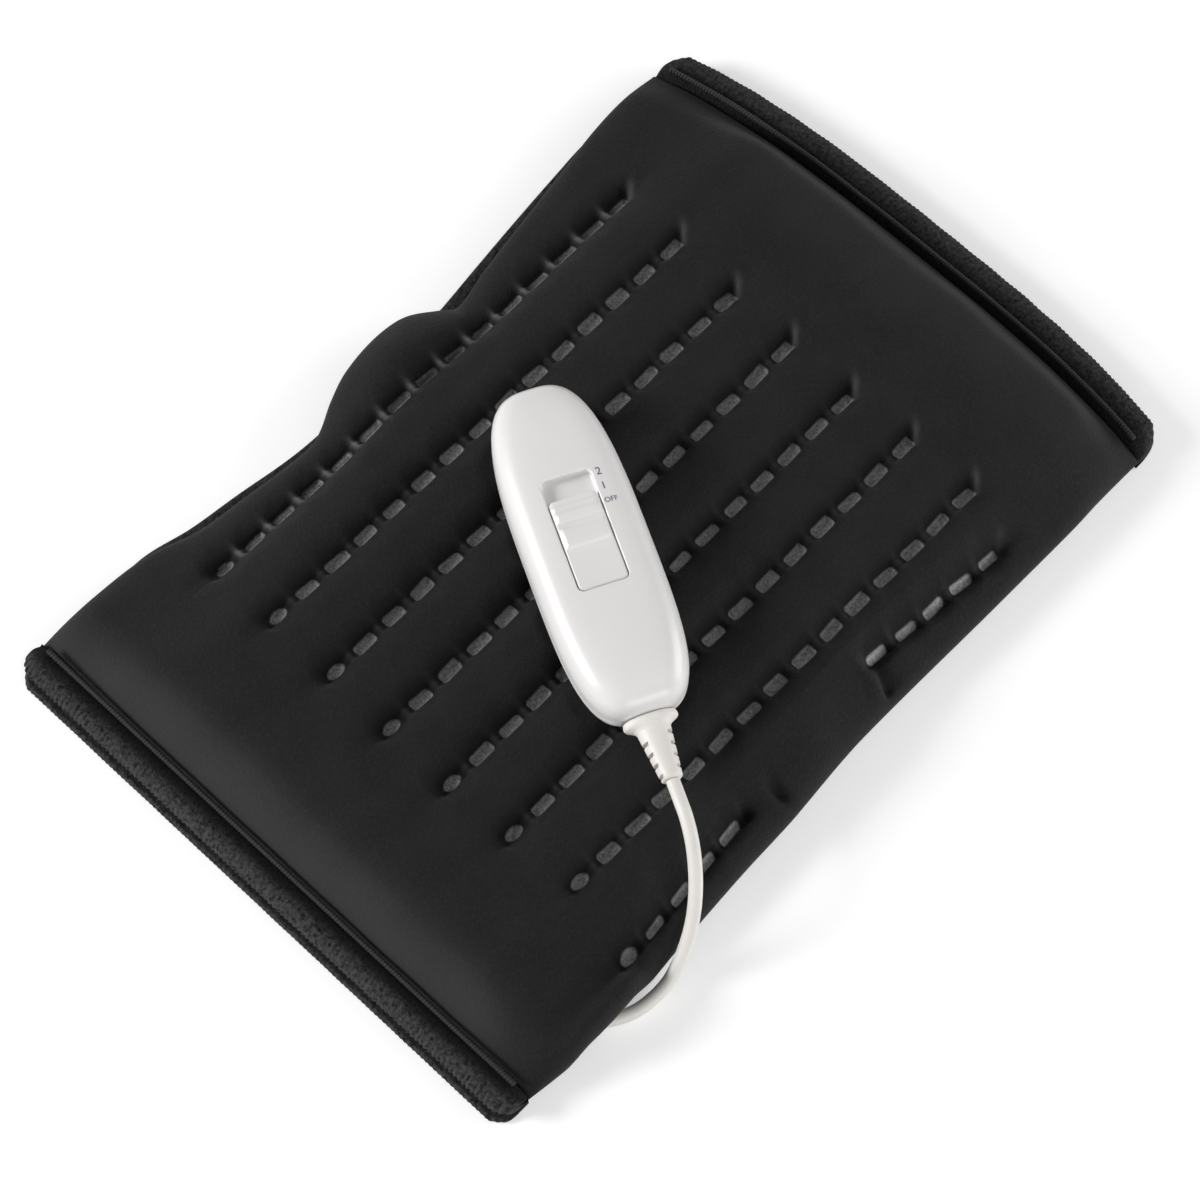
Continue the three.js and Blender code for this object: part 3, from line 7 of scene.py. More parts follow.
import bmesh
import bpy
import numpy as np
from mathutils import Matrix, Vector


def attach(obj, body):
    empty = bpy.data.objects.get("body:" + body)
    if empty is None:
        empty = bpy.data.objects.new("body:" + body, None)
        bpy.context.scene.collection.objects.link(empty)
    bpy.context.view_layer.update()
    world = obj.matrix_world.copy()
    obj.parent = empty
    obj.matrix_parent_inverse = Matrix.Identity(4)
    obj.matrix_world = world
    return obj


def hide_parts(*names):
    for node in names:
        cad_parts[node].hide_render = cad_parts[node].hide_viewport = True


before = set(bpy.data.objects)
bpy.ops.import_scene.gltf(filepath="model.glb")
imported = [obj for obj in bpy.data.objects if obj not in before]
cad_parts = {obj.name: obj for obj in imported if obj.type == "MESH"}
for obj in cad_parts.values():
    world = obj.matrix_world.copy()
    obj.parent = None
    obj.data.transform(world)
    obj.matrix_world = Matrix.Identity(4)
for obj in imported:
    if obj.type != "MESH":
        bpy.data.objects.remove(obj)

log = logging.getLogger("heating_pad")
MM = 0.001
TURN = 2 * math.pi
TINY = 1e-9
Array = np.ndarray
Pair = tuple[float, float]
Shares = tuple[Pair, ...]
Point = tuple[float, float, float]
Colour = tuple[float, float, float, float]
Tree = bpy.types.NodeTree
Socket = bpy.types.NodeSocket
Piece = bpy.types.Object
Layers = list[tuple[Socket, Colour | Socket]]


# Numbers

def smooth(t: Array) -> Array:
    """Ease from 0 to 1: three times t squared less twice t cubed, held outside 0 to 1."""
    s = np.clip(t, 0.0, 1.0)
    return s * s * (3.0 - 2.0 * s)


def bell(t: Array) -> Array:
    """Bell curve: e to the power of minus t squared."""
    return np.exp(-np.square(t))


def rounded_rise(t: Array, squareness: float) -> Array:
    """Shoulder of a rounded edge from 0 to 1: a quarter of a superellipse of the given power."""
    left = 1.0 - np.clip(t, 0.0, 1.0)
    return (1.0 - left**squareness) ** (1.0 / squareness)


def round_angles(count: int, start: float = 0.0) -> Array:
    """Angles evenly round a circle, the first one a share of a step on from nought."""
    return TURN * (np.arange(count) + start) / count


def flowing_table(shares: Shares, t: Array, steps: int = 24) -> Array:
    """Value of a table at places t, along one smooth curve through its entries.

    Args:
        shares: the table's (place, value) pairs, with rising places.
        t: the places asked for.
        steps: samples between two entries.

    Returns:
        The values.
    """
    line = through(np.array(shares, float), steps)
    places = np.maximum.accumulate(line[:, 0]) + TINY * np.arange(len(line))
    return np.interp(t, places, line[:, 1])


def cubic_spread(values: Array, count: int, every: int) -> Array:
    """Values kept at every so many rows, spread over all rows by uniform Catmull-Rom cubics.

    Args:
        values: the kept rows.
        count: rows wanted.
        every: rows from one kept row to the next.

    Returns:
        The values at all rows.
    """
    last = len(values) - 1
    t = np.clip(np.arange(count) / every, 0, last)
    i = np.minimum(t.astype(int), last - 1)
    f = (t - i).reshape(-1, *([1] * (values.ndim - 1)))
    a, b, c, d = (values[np.clip(i + k, 0, last)] for k in (-1, 0, 1, 2))
    return b + 0.5 * f * (c - a + f * (2 * a - 5 * b + 4 * c - d + f * (3 * (b - c) + d - a)))


def through(points: Array, steps: int) -> Array:
    """Centripetal Catmull-Rom curve through points: each span is a cubic whose knots are spaced by
    the square root of the distance between the points.

    Args:
        points: the points to pass, one a row.
        steps: samples on each span.

    Returns:
        The samples, one a row, ending on the last point.
    """
    p = np.vstack([2 * points[0] - points[1], points, 2 * points[-1] - points[-2]])
    knots = np.sqrt(np.linalg.norm(np.diff(p, axis=0), axis=1)) + TINY
    p0, p1, p2, p3 = p[:-3], p[1:-2], p[2:-1], p[3:]
    k0, k1, k2 = (k[:, None] for k in (knots[:-2], knots[1:-1], knots[2:]))
    m1 = (p1 - p0) / k0 - (p2 - p0) / (k0 + k1) + (p2 - p1) / k1
    m2 = (p2 - p1) / k1 - (p3 - p1) / (k1 + k2) + (p3 - p2) / k2
    m1, m2 = m1 * k1, m2 * k1
    t = (np.arange(steps) / steps)[None, :, None]
    a, b, c, d = (x[:, None, :] for x in (p1, m1, p2, m2))
    h = a * (2 * t**3 - 3 * t**2 + 1) + b * (t**3 - 2 * t**2 + t)
    h = h + c * (3 * t**2 - 2 * t**3) + d * (t**3 - t**2)
    return np.vstack([h.reshape(-1, points.shape[1]), points[-1:]])


def path_runs(path: Array) -> Array:
    """Distance along a path at each of its points: the summed lengths of its steps."""
    return np.concatenate([[0.0], np.cumsum(np.linalg.norm(np.diff(path, axis=0), axis=1))])


def rounded_box_distance(u: Array, v: Array, half_u: Array | float, half_v: Array | float,
                         radius: float) -> Array:
    """Signed distance to a rounded rectangle: the distance to the rectangle drawn in by the corner's
    radius, less that radius.

    Args:
        u: places along its first side, from its middle.
        v: places along its second side.
        half_u: half the first side.
        half_v: half the second side.
        radius: the corner's radius.

    Returns:
        The distances, below 0 inside.
    """
    du, dv = np.abs(u) - (half_u - radius), np.abs(v) - (half_v - radius)
    outside = np.hypot(np.maximum(du, 0.0), np.maximum(dv, 0.0))
    return outside + np.minimum(np.maximum(du, dv), 0.0) - radius


def by_halving(inside: Callable[[Array], Array], low: Array, high: Array, rounds: int = 40) -> Array:
    """Last places at which a test is true, found by halving the span between two bounds.

    Args:
        inside: the test, for an array of places.
        low: places at which it is true.
        high: places at which it isn't.
        rounds: how often the span is halved.

    Returns:
        The places.
    """
    for _ in range(rounds):
        middle = (low + high) / 2
        kept = inside(middle)
        low, high = np.where(kept, middle, low), np.where(kept, high, middle)
    return low


# Surfaces

@dataclass
class Surface:
    """A closed surface: points in millimetres, four-sided faces, caps, and values at its points."""

    points: Array
    quads: Array
    caps: list[list[int]] = field(default_factory=list)
    values: dict[str, Array] = field(default_factory=dict)

    def outward(self) -> "Surface":
        """Turns the faces to point out: the signed volume, a sixth of the sum of each triangle's
        triple product, has to be above 0.

        Returns:
            The surface itself.
        """
        fans = [[c[0], c[i], c[i + 1]] for c in self.caps for i in range(1, len(c) - 1)]
        parts = [self.quads[:, [0, 1, 2]], self.quads[:, [0, 2, 3]]]
        if fans:
            parts.append(np.array(fans))
        a, b, c = (self.points[np.vstack(parts)[:, k]] for k in range(3))
        if np.einsum("ij,ij->", a, np.cross(b, c)) < 0:
            self.quads = self.quads[:, ::-1]
            self.caps = [cap[::-1] for cap in self.caps]
        return self

    def mesh(self, name: str) -> bpy.types.Mesh:
        """Makes the surface's mesh in metres, with its values as point attributes.

        Args:
            name: the mesh's name.

        Returns:
            The mesh.
        """
        made = bpy.data.meshes.new(name)
        made.from_pydata((self.points * MM).tolist(), [], self.quads.tolist() + self.caps)
        for key, values in self.values.items():
            attribute = made.attributes.new(key, "FLOAT", "POINT")
            attribute.data.foreach_set("value", values.astype(np.float32))
        return made


def grid_quads(rows: int, columns: int, wrap_rows: bool = False, wrap_columns: bool = False) -> Array:
    """Faces of a grid of points stored row by row.

    Args:
        rows: rows of points.
        columns: points in a row.
        wrap_rows: joins the last row to the first.
        wrap_columns: joins each row's last point to its first.

    Returns:
        The corners of each face, one face a row.
    """
    i = np.arange(rows if wrap_rows else rows - 1)[:, None]
    j = np.arange(columns if wrap_columns else columns - 1)[None, :]
    i1, j1 = (i + 1) % rows, (j + 1) % columns
    corners = [i * columns + j, i * columns + j1, i1 * columns + j1, i1 * columns + j]
    return np.stack([c.ravel() for c in corners], axis=1)


def loft(rings: Array, ring_shaped: bool = False, **values: Array) -> Surface:
    """Skin over closed rings: neighbours are joined by faces, and the first and last ring are capped,
    or joined to each other for a body with a hole through it.

    Args:
        rings: points of shape (rings, points in a ring, 3).
        ring_shaped: joins the last ring to the first.
        values: named values of shape (rings, points in a ring), kept at the points.

    Returns:
        The closed surface.
    """
    n, m = rings.shape[:2]
    quads = grid_quads(n, m, ring_shaped, True)
    caps = [] if ring_shaped else [list(range(m))[::-1], list(range((n - 1) * m, n * m))]
    kept = {k: np.broadcast_to(v, (n, m)).ravel() for k, v in values.items()}
    return Surface(rings.reshape(-1, 3), quads, caps, kept).outward()


def level_ring(loop: Array, height: Array | float) -> Array:
    """Points of a plan loop at a height, or each at its own."""
    return np.column_stack([loop, np.zeros(len(loop)) + height])


def tube(path: Array, radius: float, sides: int, swell: Array | float = 0.0) -> Surface:
    """Round section carried along a path: its two axes are the path's level normal and the cross
    product of that with the path's direction.

    Args:
        path: points of the centreline, one a row, never straight up.
        radius: the section's radius.
        sides: points round the section.
        swell: added to the radius, of shape (points, sides).

    Returns:
        The closed surface, with the distance along the path kept as "along".
    """
    along = np.gradient(path, axis=0)
    along /= np.linalg.norm(along, axis=1, keepdims=True)
    level = np.cross(along, (0.0, 0.0, 1.0))
    level /= np.linalg.norm(level, axis=1, keepdims=True)
    upright = np.cross(level, along)
    turn = round_angles(sides)[None, :, None]
    reach = np.broadcast_to(radius + swell, (len(path), sides))[:, :, None]
    rings = path[:, None] + reach * (np.cos(turn) * level[:, None] + np.sin(turn) * upright[:, None])
    return loft(rings, along=path_runs(path)[:, None])


def lathe(profile: Array, centre: Pair, sides: int) -> Surface:
    """Profile turned about an upright axis and capped at both ends.

    Args:
        profile: (radius, height) pairs, one a row.
        centre: the axis's place in plan.
        sides: points round the axis.

    Returns:
        The closed surface.
    """
    turn = round_angles(sides)
    plan = [c + profile[:, :1] * wave(turn) for c, wave in zip(centre, (np.cos, np.sin))]
    return loft(np.stack([*plan, np.broadcast_to(profile[:, 1:], plan[0].shape)], axis=2))


def joined(parts: list[Surface]) -> Surface:
    """Several surfaces as one that keeps each one's own faces.

    Args:
        parts: the surfaces.

    Returns:
        The one surface, without values.
    """
    starts = np.cumsum([0] + [len(p.points) for p in parts])[:-1]
    return Surface(
        np.vstack([p.points for p in parts]),
        np.vstack([p.quads + s for p, s in zip(parts, starts)]),
        [[int(i + s) for i in cap] for p, s in zip(parts, starts) for cap in p.caps],
    )


# Finishes

def linear(hex_colour: str) -> Colour:
    """Linear colour of an sRGB value: each part over 12.92 when dark, and otherwise the 2.4th power
    of the part raised by 0.055.

    Args:
        hex_colour: the value, such as "#2c2c2e".

    Returns:
        Red, green, blue and full cover.
    """
    parts = np.array([int(hex_colour[i:i + 2], 16) / 255 for i in (1, 3, 5)])
    bright = ((parts + 0.055) / 1.055) ** 2.4
    return (*np.where(parts <= 0.04045, parts / 12.92, bright).tolist(), 1.0)


def per_metre(size: float) -> float:
    """Scale of a pattern whose parts are about a size in millimetres."""
    return 1.0 / (size * MM)


def add_node(tree: Tree, kind: str, inputs: dict | tuple = (), output: str | int = 0,
             **settings: object) -> Socket | None:
    """Adds a node with its settings and links.

    Args:
        tree: the node tree.
        kind: the node's type, without its "ShaderNode".
        inputs: values, or the sockets that feed them, by input name or number, or in their order.
        output: the output that is wanted, by name or number.
        settings: the node's own settings.

    Returns:
        The output, or None from a node that has none.
    """
    node = tree.nodes.new("ShaderNode" + kind)
    for key, value in settings.items():
        setattr(node, key, value)
    for key, value in inputs.items() if isinstance(inputs, dict) else enumerate(inputs):
        if isinstance(value, Socket):
            tree.links.new(value, node.inputs[key])
        else:
            node.inputs[key].default_value = value
    return node.outputs[output] if len(node.outputs) else None


def layered(tree: Tree, colour: Colour, layers: Layers) -> Socket:
    """Colours laid one over another, each covering what is under it by its own share.

    Args:
        tree: the node tree.
        colour: the lowest colour.
        layers: the share and the colour of each layer, from the lowest up.

    Returns:
        The colour that shows.
    """
    for share, over in layers:
        colour = add_node(tree, "Mix", {0: share, 6: colour, 7: over}, 2, data_type="RGBA")
    return colour


def patches(tree: Tree, place: Socket, size: float, detail: float,
            contrast: Pair = (0.35, 0.65),
            levels: Pair = (0.0, 1.0)) -> Socket:
    """Soft patches over a surface: noise stretched until it fills the range between two levels.

    Args:
        tree: the node tree.
        place: the coordinates.
        size: about the patches' width in millimetres.
        detail: octaves of finer noise.
        contrast: values of the noise that reach the two levels.
        levels: the two levels.

    Returns:
        The value.
    """
    noise = add_node(tree, "TexNoise", {"Vector": place, "Scale": per_metre(size), "Detail": detail})
    return add_node(tree, "MapRange", (noise, *contrast, *levels))


def empty_tree(owner: bpy.types.Material | bpy.types.World) -> Tree:
    """Node tree of a material or world, with nothing in it.

    Args:
        owner: the material or world.

    Returns:
        The tree.
    """
    owner.use_nodes = True
    owner.node_tree.nodes.clear()
    return owner.node_tree


class Grain(Enum):
    """What the small relief of a finish looks like."""

    FINE = "fine"
    CLUMPS = "clumps"
    BRUSHED = "brushed"
    TRACES = "traces"
    TWIST = "twist"


@dataclass(frozen=True)
class Finish:
    """A procedural finish. Sizes of flecks and grain are in millimetres. A grain of clumps is the nap
    of a brushed cloth and reads how far it is brushed up from a point attribute, which on the
    pocket's band and lip also paints shade and light; a grain of twist is a thread's turns and reads
    the distance along it from "along"."""

    name: str
    colour: str
    fleck: str
    fleck_size: float = 8.0
    roughness: float = 0.5
    roughness_swing: float = 0.06
    grain: Grain = Grain.FINE
    grain_size: float = 0.6
    grain_height: float = 0.01
    metallic: float = 0.0
    ior: float = 1.5
    sheen: float = 0.0
    sheen_roughness: float = 0.5
    coat: float = 0.0
    coat_roughness: float = 0.1
    trace: str = "#5f9a58"
    fibre_stretch: Point = (1.0, 0.45, 1.0)
    brush_stretch: Point = (0.06, 1.0, 1.0)

    def relief(self, tree: Tree, place: Socket) -> Socket:
        """Height of the small relief by the kind of grain: noise, noise with stretched fibres added,
        noise drawn out along the brushing, a sine along the thread, or a board's brick-like tracks.

        Args:
            tree: the material's node tree.
            place: the coordinates.

        Returns:
            The height, from 0 to 1.
        """
        noise = {"Vector": place, "Scale": per_metre(self.grain_size), "Detail": 2.0}
        if self.grain is Grain.CLUMPS:
            clump = add_node(tree, "TexNoise", noise | {"Detail": 4.0})
            drawn = add_node(tree, "Mapping", {"Vector": place, "Scale": self.fibre_stretch})
            fibre = add_node(tree, "TexNoise", {
                "Vector": drawn, "Scale": per_metre(self.grain_size / 3), "Detail": 3.0})
            both = add_node(tree, "Math", (clump, fibre), operation="ADD")
            return add_node(tree, "MapRange", (both, 0.5, 1.5, 0.0, 1.0))
        if self.grain is Grain.BRUSHED:
            drawn = add_node(tree, "Mapping", {"Vector": place, "Scale": self.brush_stretch})
            return add_node(tree, "TexNoise", noise | {"Vector": drawn, "Detail": 1.0})
        if self.grain is Grain.TWIST:
            along = add_node(tree, "Attribute", output="Fac", attribute_name="along")
            angle = add_node(tree, "Math", (along, TURN / self.grain_size), operation="MULTIPLY")
            wave = add_node(tree, "Math", (angle,), operation="SINE")
            return add_node(tree, "MapRange", (wave, -1.0, 1.0, 0.0, 1.0))
        if self.grain is Grain.TRACES:
            return add_node(tree, "TexBrick", {
                "Vector": place, "Scale": per_metre(self.grain_size), "Row Height": 0.5,
                "Brick Width": 2.6, "Mortar Size": 0.06, "Color1": linear("#000000"),
                "Color2": (0.2, 0.2, 0.2, 1.0), "Mortar": linear("#ffffff")})
        return add_node(tree, "TexNoise", noise)

    def layers(self, tree: Tree, place: Socket, height: Socket) -> Layers:
        """Colours over the main one: patches of the second colour, fuller where a nap is brushed up,
        which also stands for painted shade and light, and on its tips; only the pale edge of each turn
        on a thread; paler traces on a board.

        Args:
            tree: the material's node tree.
            place: the coordinates.
            height: the height of the small relief.

        Returns:
            The share and the colour of each layer.
        """
        fleck = linear(self.fleck)
        if self.grain is Grain.TWIST:
            return [(height, fleck)]
        cloud = patches(tree, place, self.fleck_size, 3.0)
        if self.grain is Grain.CLUMPS:
            # The nap's share also carries painted shade and light from the pocket's band and lip.
            nap = add_node(tree, "Attribute", output="Fac", attribute_name="nap")
            tip = add_node(tree, "MapRange", (height, 0.35, 0.75, 0.0, 0.8))
            return [(add_node(tree, "Math", (share, nap), operation="MULTIPLY"), fleck)
                    for share in (cloud, tip)]
        if self.grain is Grain.TRACES:
            return [(cloud, fleck), (height, linear(self.trace))]
        return [(cloud, fleck)]

    def material(self) -> bpy.types.Material:
        """Builds the material, once for each name.

        Returns:
            The material.
        """
        made = bpy.data.materials.get(self.name)
        if made is not None:
            return made
        made = bpy.data.materials.new(self.name)
        tree = empty_tree(made)
        place = add_node(tree, "TexCoord", output="Object")
        height = self.relief(tree, place)
        swing = (self.roughness - self.roughness_swing, self.roughness + self.roughness_swing)
        shader = add_node(tree, "BsdfPrincipled", {
            "Base Color": layered(tree, linear(self.colour), self.layers(tree, place, height)),
            "Roughness": patches(tree, place, self.fleck_size / 2, 2.0, (0.3, 0.7), swing),
            "Normal": add_node(tree, "Bump", {"Height": height, "Strength": 1.0,
                                              "Distance": self.grain_height * MM}),
            "Metallic": self.metallic, "IOR": self.ior,
            "Sheen Weight": self.sheen, "Sheen Roughness": self.sheen_roughness,
            "Coat Weight": self.coat, "Coat Roughness": self.coat_roughness,
        })
        add_node(tree, "OutputMaterial", {"Surface": shader})
        return made


@dataclass(frozen=True)
class WeldedJersey(Finish):
    """Knitted face of neoprene with its weld spots. Each point keeps its signed distance to the
    nearest spot's outline in millimetres as "weld", so the spots stay crisp, and the share of
    painted light on the knit in a second attribute."""

    spot: str = "#9a9a9a"
    spot_shade: str = "#707070"
    # Painted highlight on the near row's spots.
    painted_lit_spot: str = "#c0c0c0"
    # Colour of the painted light on the knit.
    drawn: str = "#666666"
    loop: str = "#2a2a2a"
    # Painted shade round each spot, for the shadow in the channels; its width and strength follow below.
    crease: str = "#0c0c0c"
    spot_edge: float = 0.22
    painted_shade_width: float = 4.0
    painted_shade_share: float = 0.65
    grit_size: float = 0.9

    def layers(self, tree: Tree, place: Socket, height: Socket) -> Layers:
        """Colours over the jersey's main one: its paler loops, a painted shade round each spot, painted
        light on the knit, and the spots with their grainy grey, painted paler on the near row as a
        highlight.

        Args:
            tree: the material's node tree.
            place: the coordinates.
            height: the height of the small relief.

        Returns:
            The share and the colour of each layer.
        """
        weld, pull = (add_node(tree, "Attribute", output="Fac", attribute_name=key)
                      for key in ("weld", "pull"))
        loops = add_node(tree, "MapRange", (height, 0.42, 0.72, 0.0, 0.5))
        # Painted shade round each spot.
        crease = add_node(tree, "MapRange", (weld, 0.0, self.painted_shade_width, self.painted_shade_share, 0.0))
        inside = add_node(tree, "MapRange", (weld, -self.spot_edge, self.spot_edge, 1.0, 0.0))
        grit = patches(tree, place, self.grit_size, 3.0)
        # The near row's spots, painted paler as a highlight.
        painted_lit_grey = layered(tree, linear(self.spot), [(grit, linear(self.painted_lit_spot))])
        grey = layered(tree, linear(self.spot_shade), [(grit, linear(self.spot)), (pull, painted_lit_grey)])
        return [*super().layers(tree, place, height), (loops, linear(self.loop)),
                (crease, linear(self.crease)), (pull, linear(self.drawn)), (inside, grey)]


# Neoprene foam with a knitted jersey face: a soft dull black whose fine loops just catch the light.
NEOPRENE = WeldedJersey("neoprene_jersey", "#191919", "#1e1e1e", fleck_size=14.0, roughness=0.8,
                        roughness_swing=0.04, grain_size=0.9, grain_height=0.3, ior=1.2, sheen=0.04)
# Brushed polyester fleece: a black ground under a grey nap of short fibres in clumps, which is
# drawn coarser than the real one so that it shows.
FLEECE = Finish("brushed_fleece", "#090909", "#505050", fleck_size=1.4, roughness=0.9,
                roughness_swing=0.03, grain=Grain.CLUMPS, grain_size=1.1, grain_height=0.9,
                ior=1.2, sheen=0.03)
# Twisted polyester thread sewn over a bead: tight dark turns, each with a paler edge.
THREAD = Finish("polyester_bead", "#1a1a1a", "#353535", fleck_size=2.0, roughness=0.7,
                roughness_swing=0.05, grain=Grain.TWIST, grain_size=1.1, grain_height=0.2, ior=1.3)
# Injection moulded white ABS with a polished mould face: clean, cool white with broad soft gloss.
WHITE_ABS = Finish("gloss_white_abs", "#ebe9e8", "#e9e7e6", fleck_size=40.0, roughness=0.3,
                   roughness_swing=0.012, grain_size=3.0, grain_height=0.004, coat=0.25,
                   coat_roughness=0.14)
# Soft white PVC: warmer than the shell, with the dull skin of a flexible moulding.
WHITE_PVC = Finish("soft_white_pvc", "#e6e2dd", "#e9e6e2", fleck_size=9.0, roughness=0.45,
                   roughness_swing=0.04, grain_size=1.2, grain_height=0.02, ior=1.45)
# Pad printing ink: flat navy with a faint edge of the shell's gloss.
PRINT_INK = Finish("navy_print_ink", "#3c4668", "#46506f", fleck_size=1.0, roughness=0.4,
                   roughness_swing=0.04, grain_size=0.4, grain_height=0.002)
# Moulded black ABS: fine spark-eroded texture that greys the highlights.
BLACK_ABS = Finish("textured_black_abs", "#1d1d1f", "#252527", fleck_size=6.0,
                   roughness_swing=0.08, grain_size=0.4, grain_height=0.03)
# Woven polyester tape: black with a visible rib.
BLACK_TAPE = Finish("woven_black_tape", "#202022", "#2f2f31", fleck_size=1.0, roughness=0.8,
                    roughness_swing=0.05, grain=Grain.BRUSHED, grain_height=0.08)
# Rubber gland: dull and slightly bloomed.
BLACK_RUBBER = Finish("black_rubber", "#1b1b1c", "#28282a", fleck_size=3.0, roughness=0.7,
                      roughness_swing=0.08, grain_size=0.8, grain_height=0.03)
# Zinc plated steel screws and motor cans: bright with fine turning marks.
STEEL = Finish("plated_steel", "#b8bbc0", "#a6a9ae", fleck_size=3.0, roughness=0.32,
               roughness_swing=0.08, grain=Grain.BRUSHED, grain_size=0.25, metallic=1.0)
# Rolled brass contacts: warm yellow with rolling lines.
BRASS = Finish("rolled_brass", "#c9a75c", "#b8924a", fleck_size=4.0, roughness=0.3,
               roughness_swing=0.08, grain=Grain.BRUSHED, grain_size=0.3, grain_height=0.008,
               metallic=1.0)
# Sintered tungsten weight: dark grey metal with a grainy skin.
TUNGSTEN = Finish("sintered_weight", "#6d6c6a", "#5b5a58", fleck_size=1.5, roughness_swing=0.1,
                  grain_size=0.3, grain_height=0.03, metallic=1.0)
# Solder masked glass epoxy board: green with paler copper tracks under the mask.
BOARD = Finish("green_circuit_board", "#2c6a3d", "#27613a", fleck_size=5.0, roughness=0.4,
               roughness_swing=0.05, grain=Grain.TRACES, grain_size=2.4, grain_height=0.03)
# Non-woven polyester that carries the heating wire: off-white and fibrous.
FELT = Finish("nonwoven_carrier", "#cfcdc4", "#bdbab0", fleck_size=3.0, roughness=0.9,
              roughness_swing=0.04, grain=Grain.CLUMPS, grain_size=0.9, grain_height=0.1, sheen=0.2)
# Silicone insulated heating wire: brick red, slightly waxy.
SILICONE_RED = Finish("red_silicone_sleeve", "#9c3b30", "#a8493c", fleck_size=4.0,
                      roughness_swing=0.05, grain_size=0.5)
# Ceramic body of a thermal fuse and terminal block: chalky off-white.
CERAMIC = Finish("glazed_ceramic", "#d9d4c6", "#cfcabb", fleck_size=2.0, roughness=0.35,
                 roughness_swing=0.08, grain_size=0.5)
# Nylon pod shells round the motors: translucent looking pale grey.
NYLON = Finish("natural_nylon", "#c9cac6", "#bdbfbb", fleck_size=6.0, roughness=0.45,
               grain_size=0.7, grain_height=0.015)


# Putting a piece into the scene

def new_object(name: str, data: bpy.types.ID) -> Piece:
    """Makes an object of some data and links it to the scene.

    Args:
        name: its name.
        data: its data.

    Returns:
        The object.
    """
    made = bpy.data.objects.new(name, data)
    bpy.context.scene.collection.objects.link(made)
    return made


def finished_mesh(source: Piece) -> bpy.types.Mesh:
    """New mesh of an object as its modifiers or its text leave it."""
    return bpy.data.meshes.new_from_object(
        source.evaluated_get(bpy.context.evaluated_depsgraph_get()))


def put_piece(name: str, surface: Surface, finish: Finish, nodes: tuple[str, ...], body: str = "pad",
              crease: float | None = None, merge: bool = False) -> Piece:
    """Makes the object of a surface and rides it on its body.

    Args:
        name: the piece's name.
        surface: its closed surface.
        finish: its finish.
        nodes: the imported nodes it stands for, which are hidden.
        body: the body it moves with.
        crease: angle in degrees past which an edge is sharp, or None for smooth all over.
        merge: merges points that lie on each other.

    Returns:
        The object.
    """
    mesh = surface.mesh(name)
    if merge:
        weld(mesh)
    mesh.polygons.foreach_set("use_smooth", np.ones(len(mesh.polygons), bool))
    if crease is not None:
        mesh.set_sharp_from_angle(angle=math.radians(crease))
    mesh.materials.append(finish.material())
    mesh.update()
    piece = new_object(name, mesh)
    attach(piece, body)
    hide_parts(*nodes)
    log.info("%s: %d points", name, len(mesh.vertices))
    return piece


def weld(mesh: bpy.types.Mesh) -> None:
    """Merges points that lie on each other and drops the faces that this flattens.

    Args:
        mesh: the mesh, which is changed.
    """
    work = bmesh.new()
    work.from_mesh(mesh)
    bmesh.ops.remove_doubles(work, verts=work.verts, dist=1e-7)
    bmesh.ops.dissolve_degenerate(work, edges=work.edges, dist=1e-8)
    work.to_mesh(mesh)
    work.free()


def combine(piece: Piece, cut: Surface, operation: str) -> None:
    """Adds a surface to a piece or takes it away, and keeps the result as the piece's mesh.

    Args:
        piece: the piece.
        cut: the surface.
        operation: the Boolean modifier's operation.
    """
    tool = new_object("cut", cut.mesh("cut"))
    modifier = piece.modifiers.new("wells", "BOOLEAN")
    modifier.object, modifier.operation, modifier.solver = tool, operation, "EXACT"
    done = finished_mesh(piece)
    piece.modifiers.clear()
    piece.data = done
    bpy.data.objects.remove(tool)


# The pad

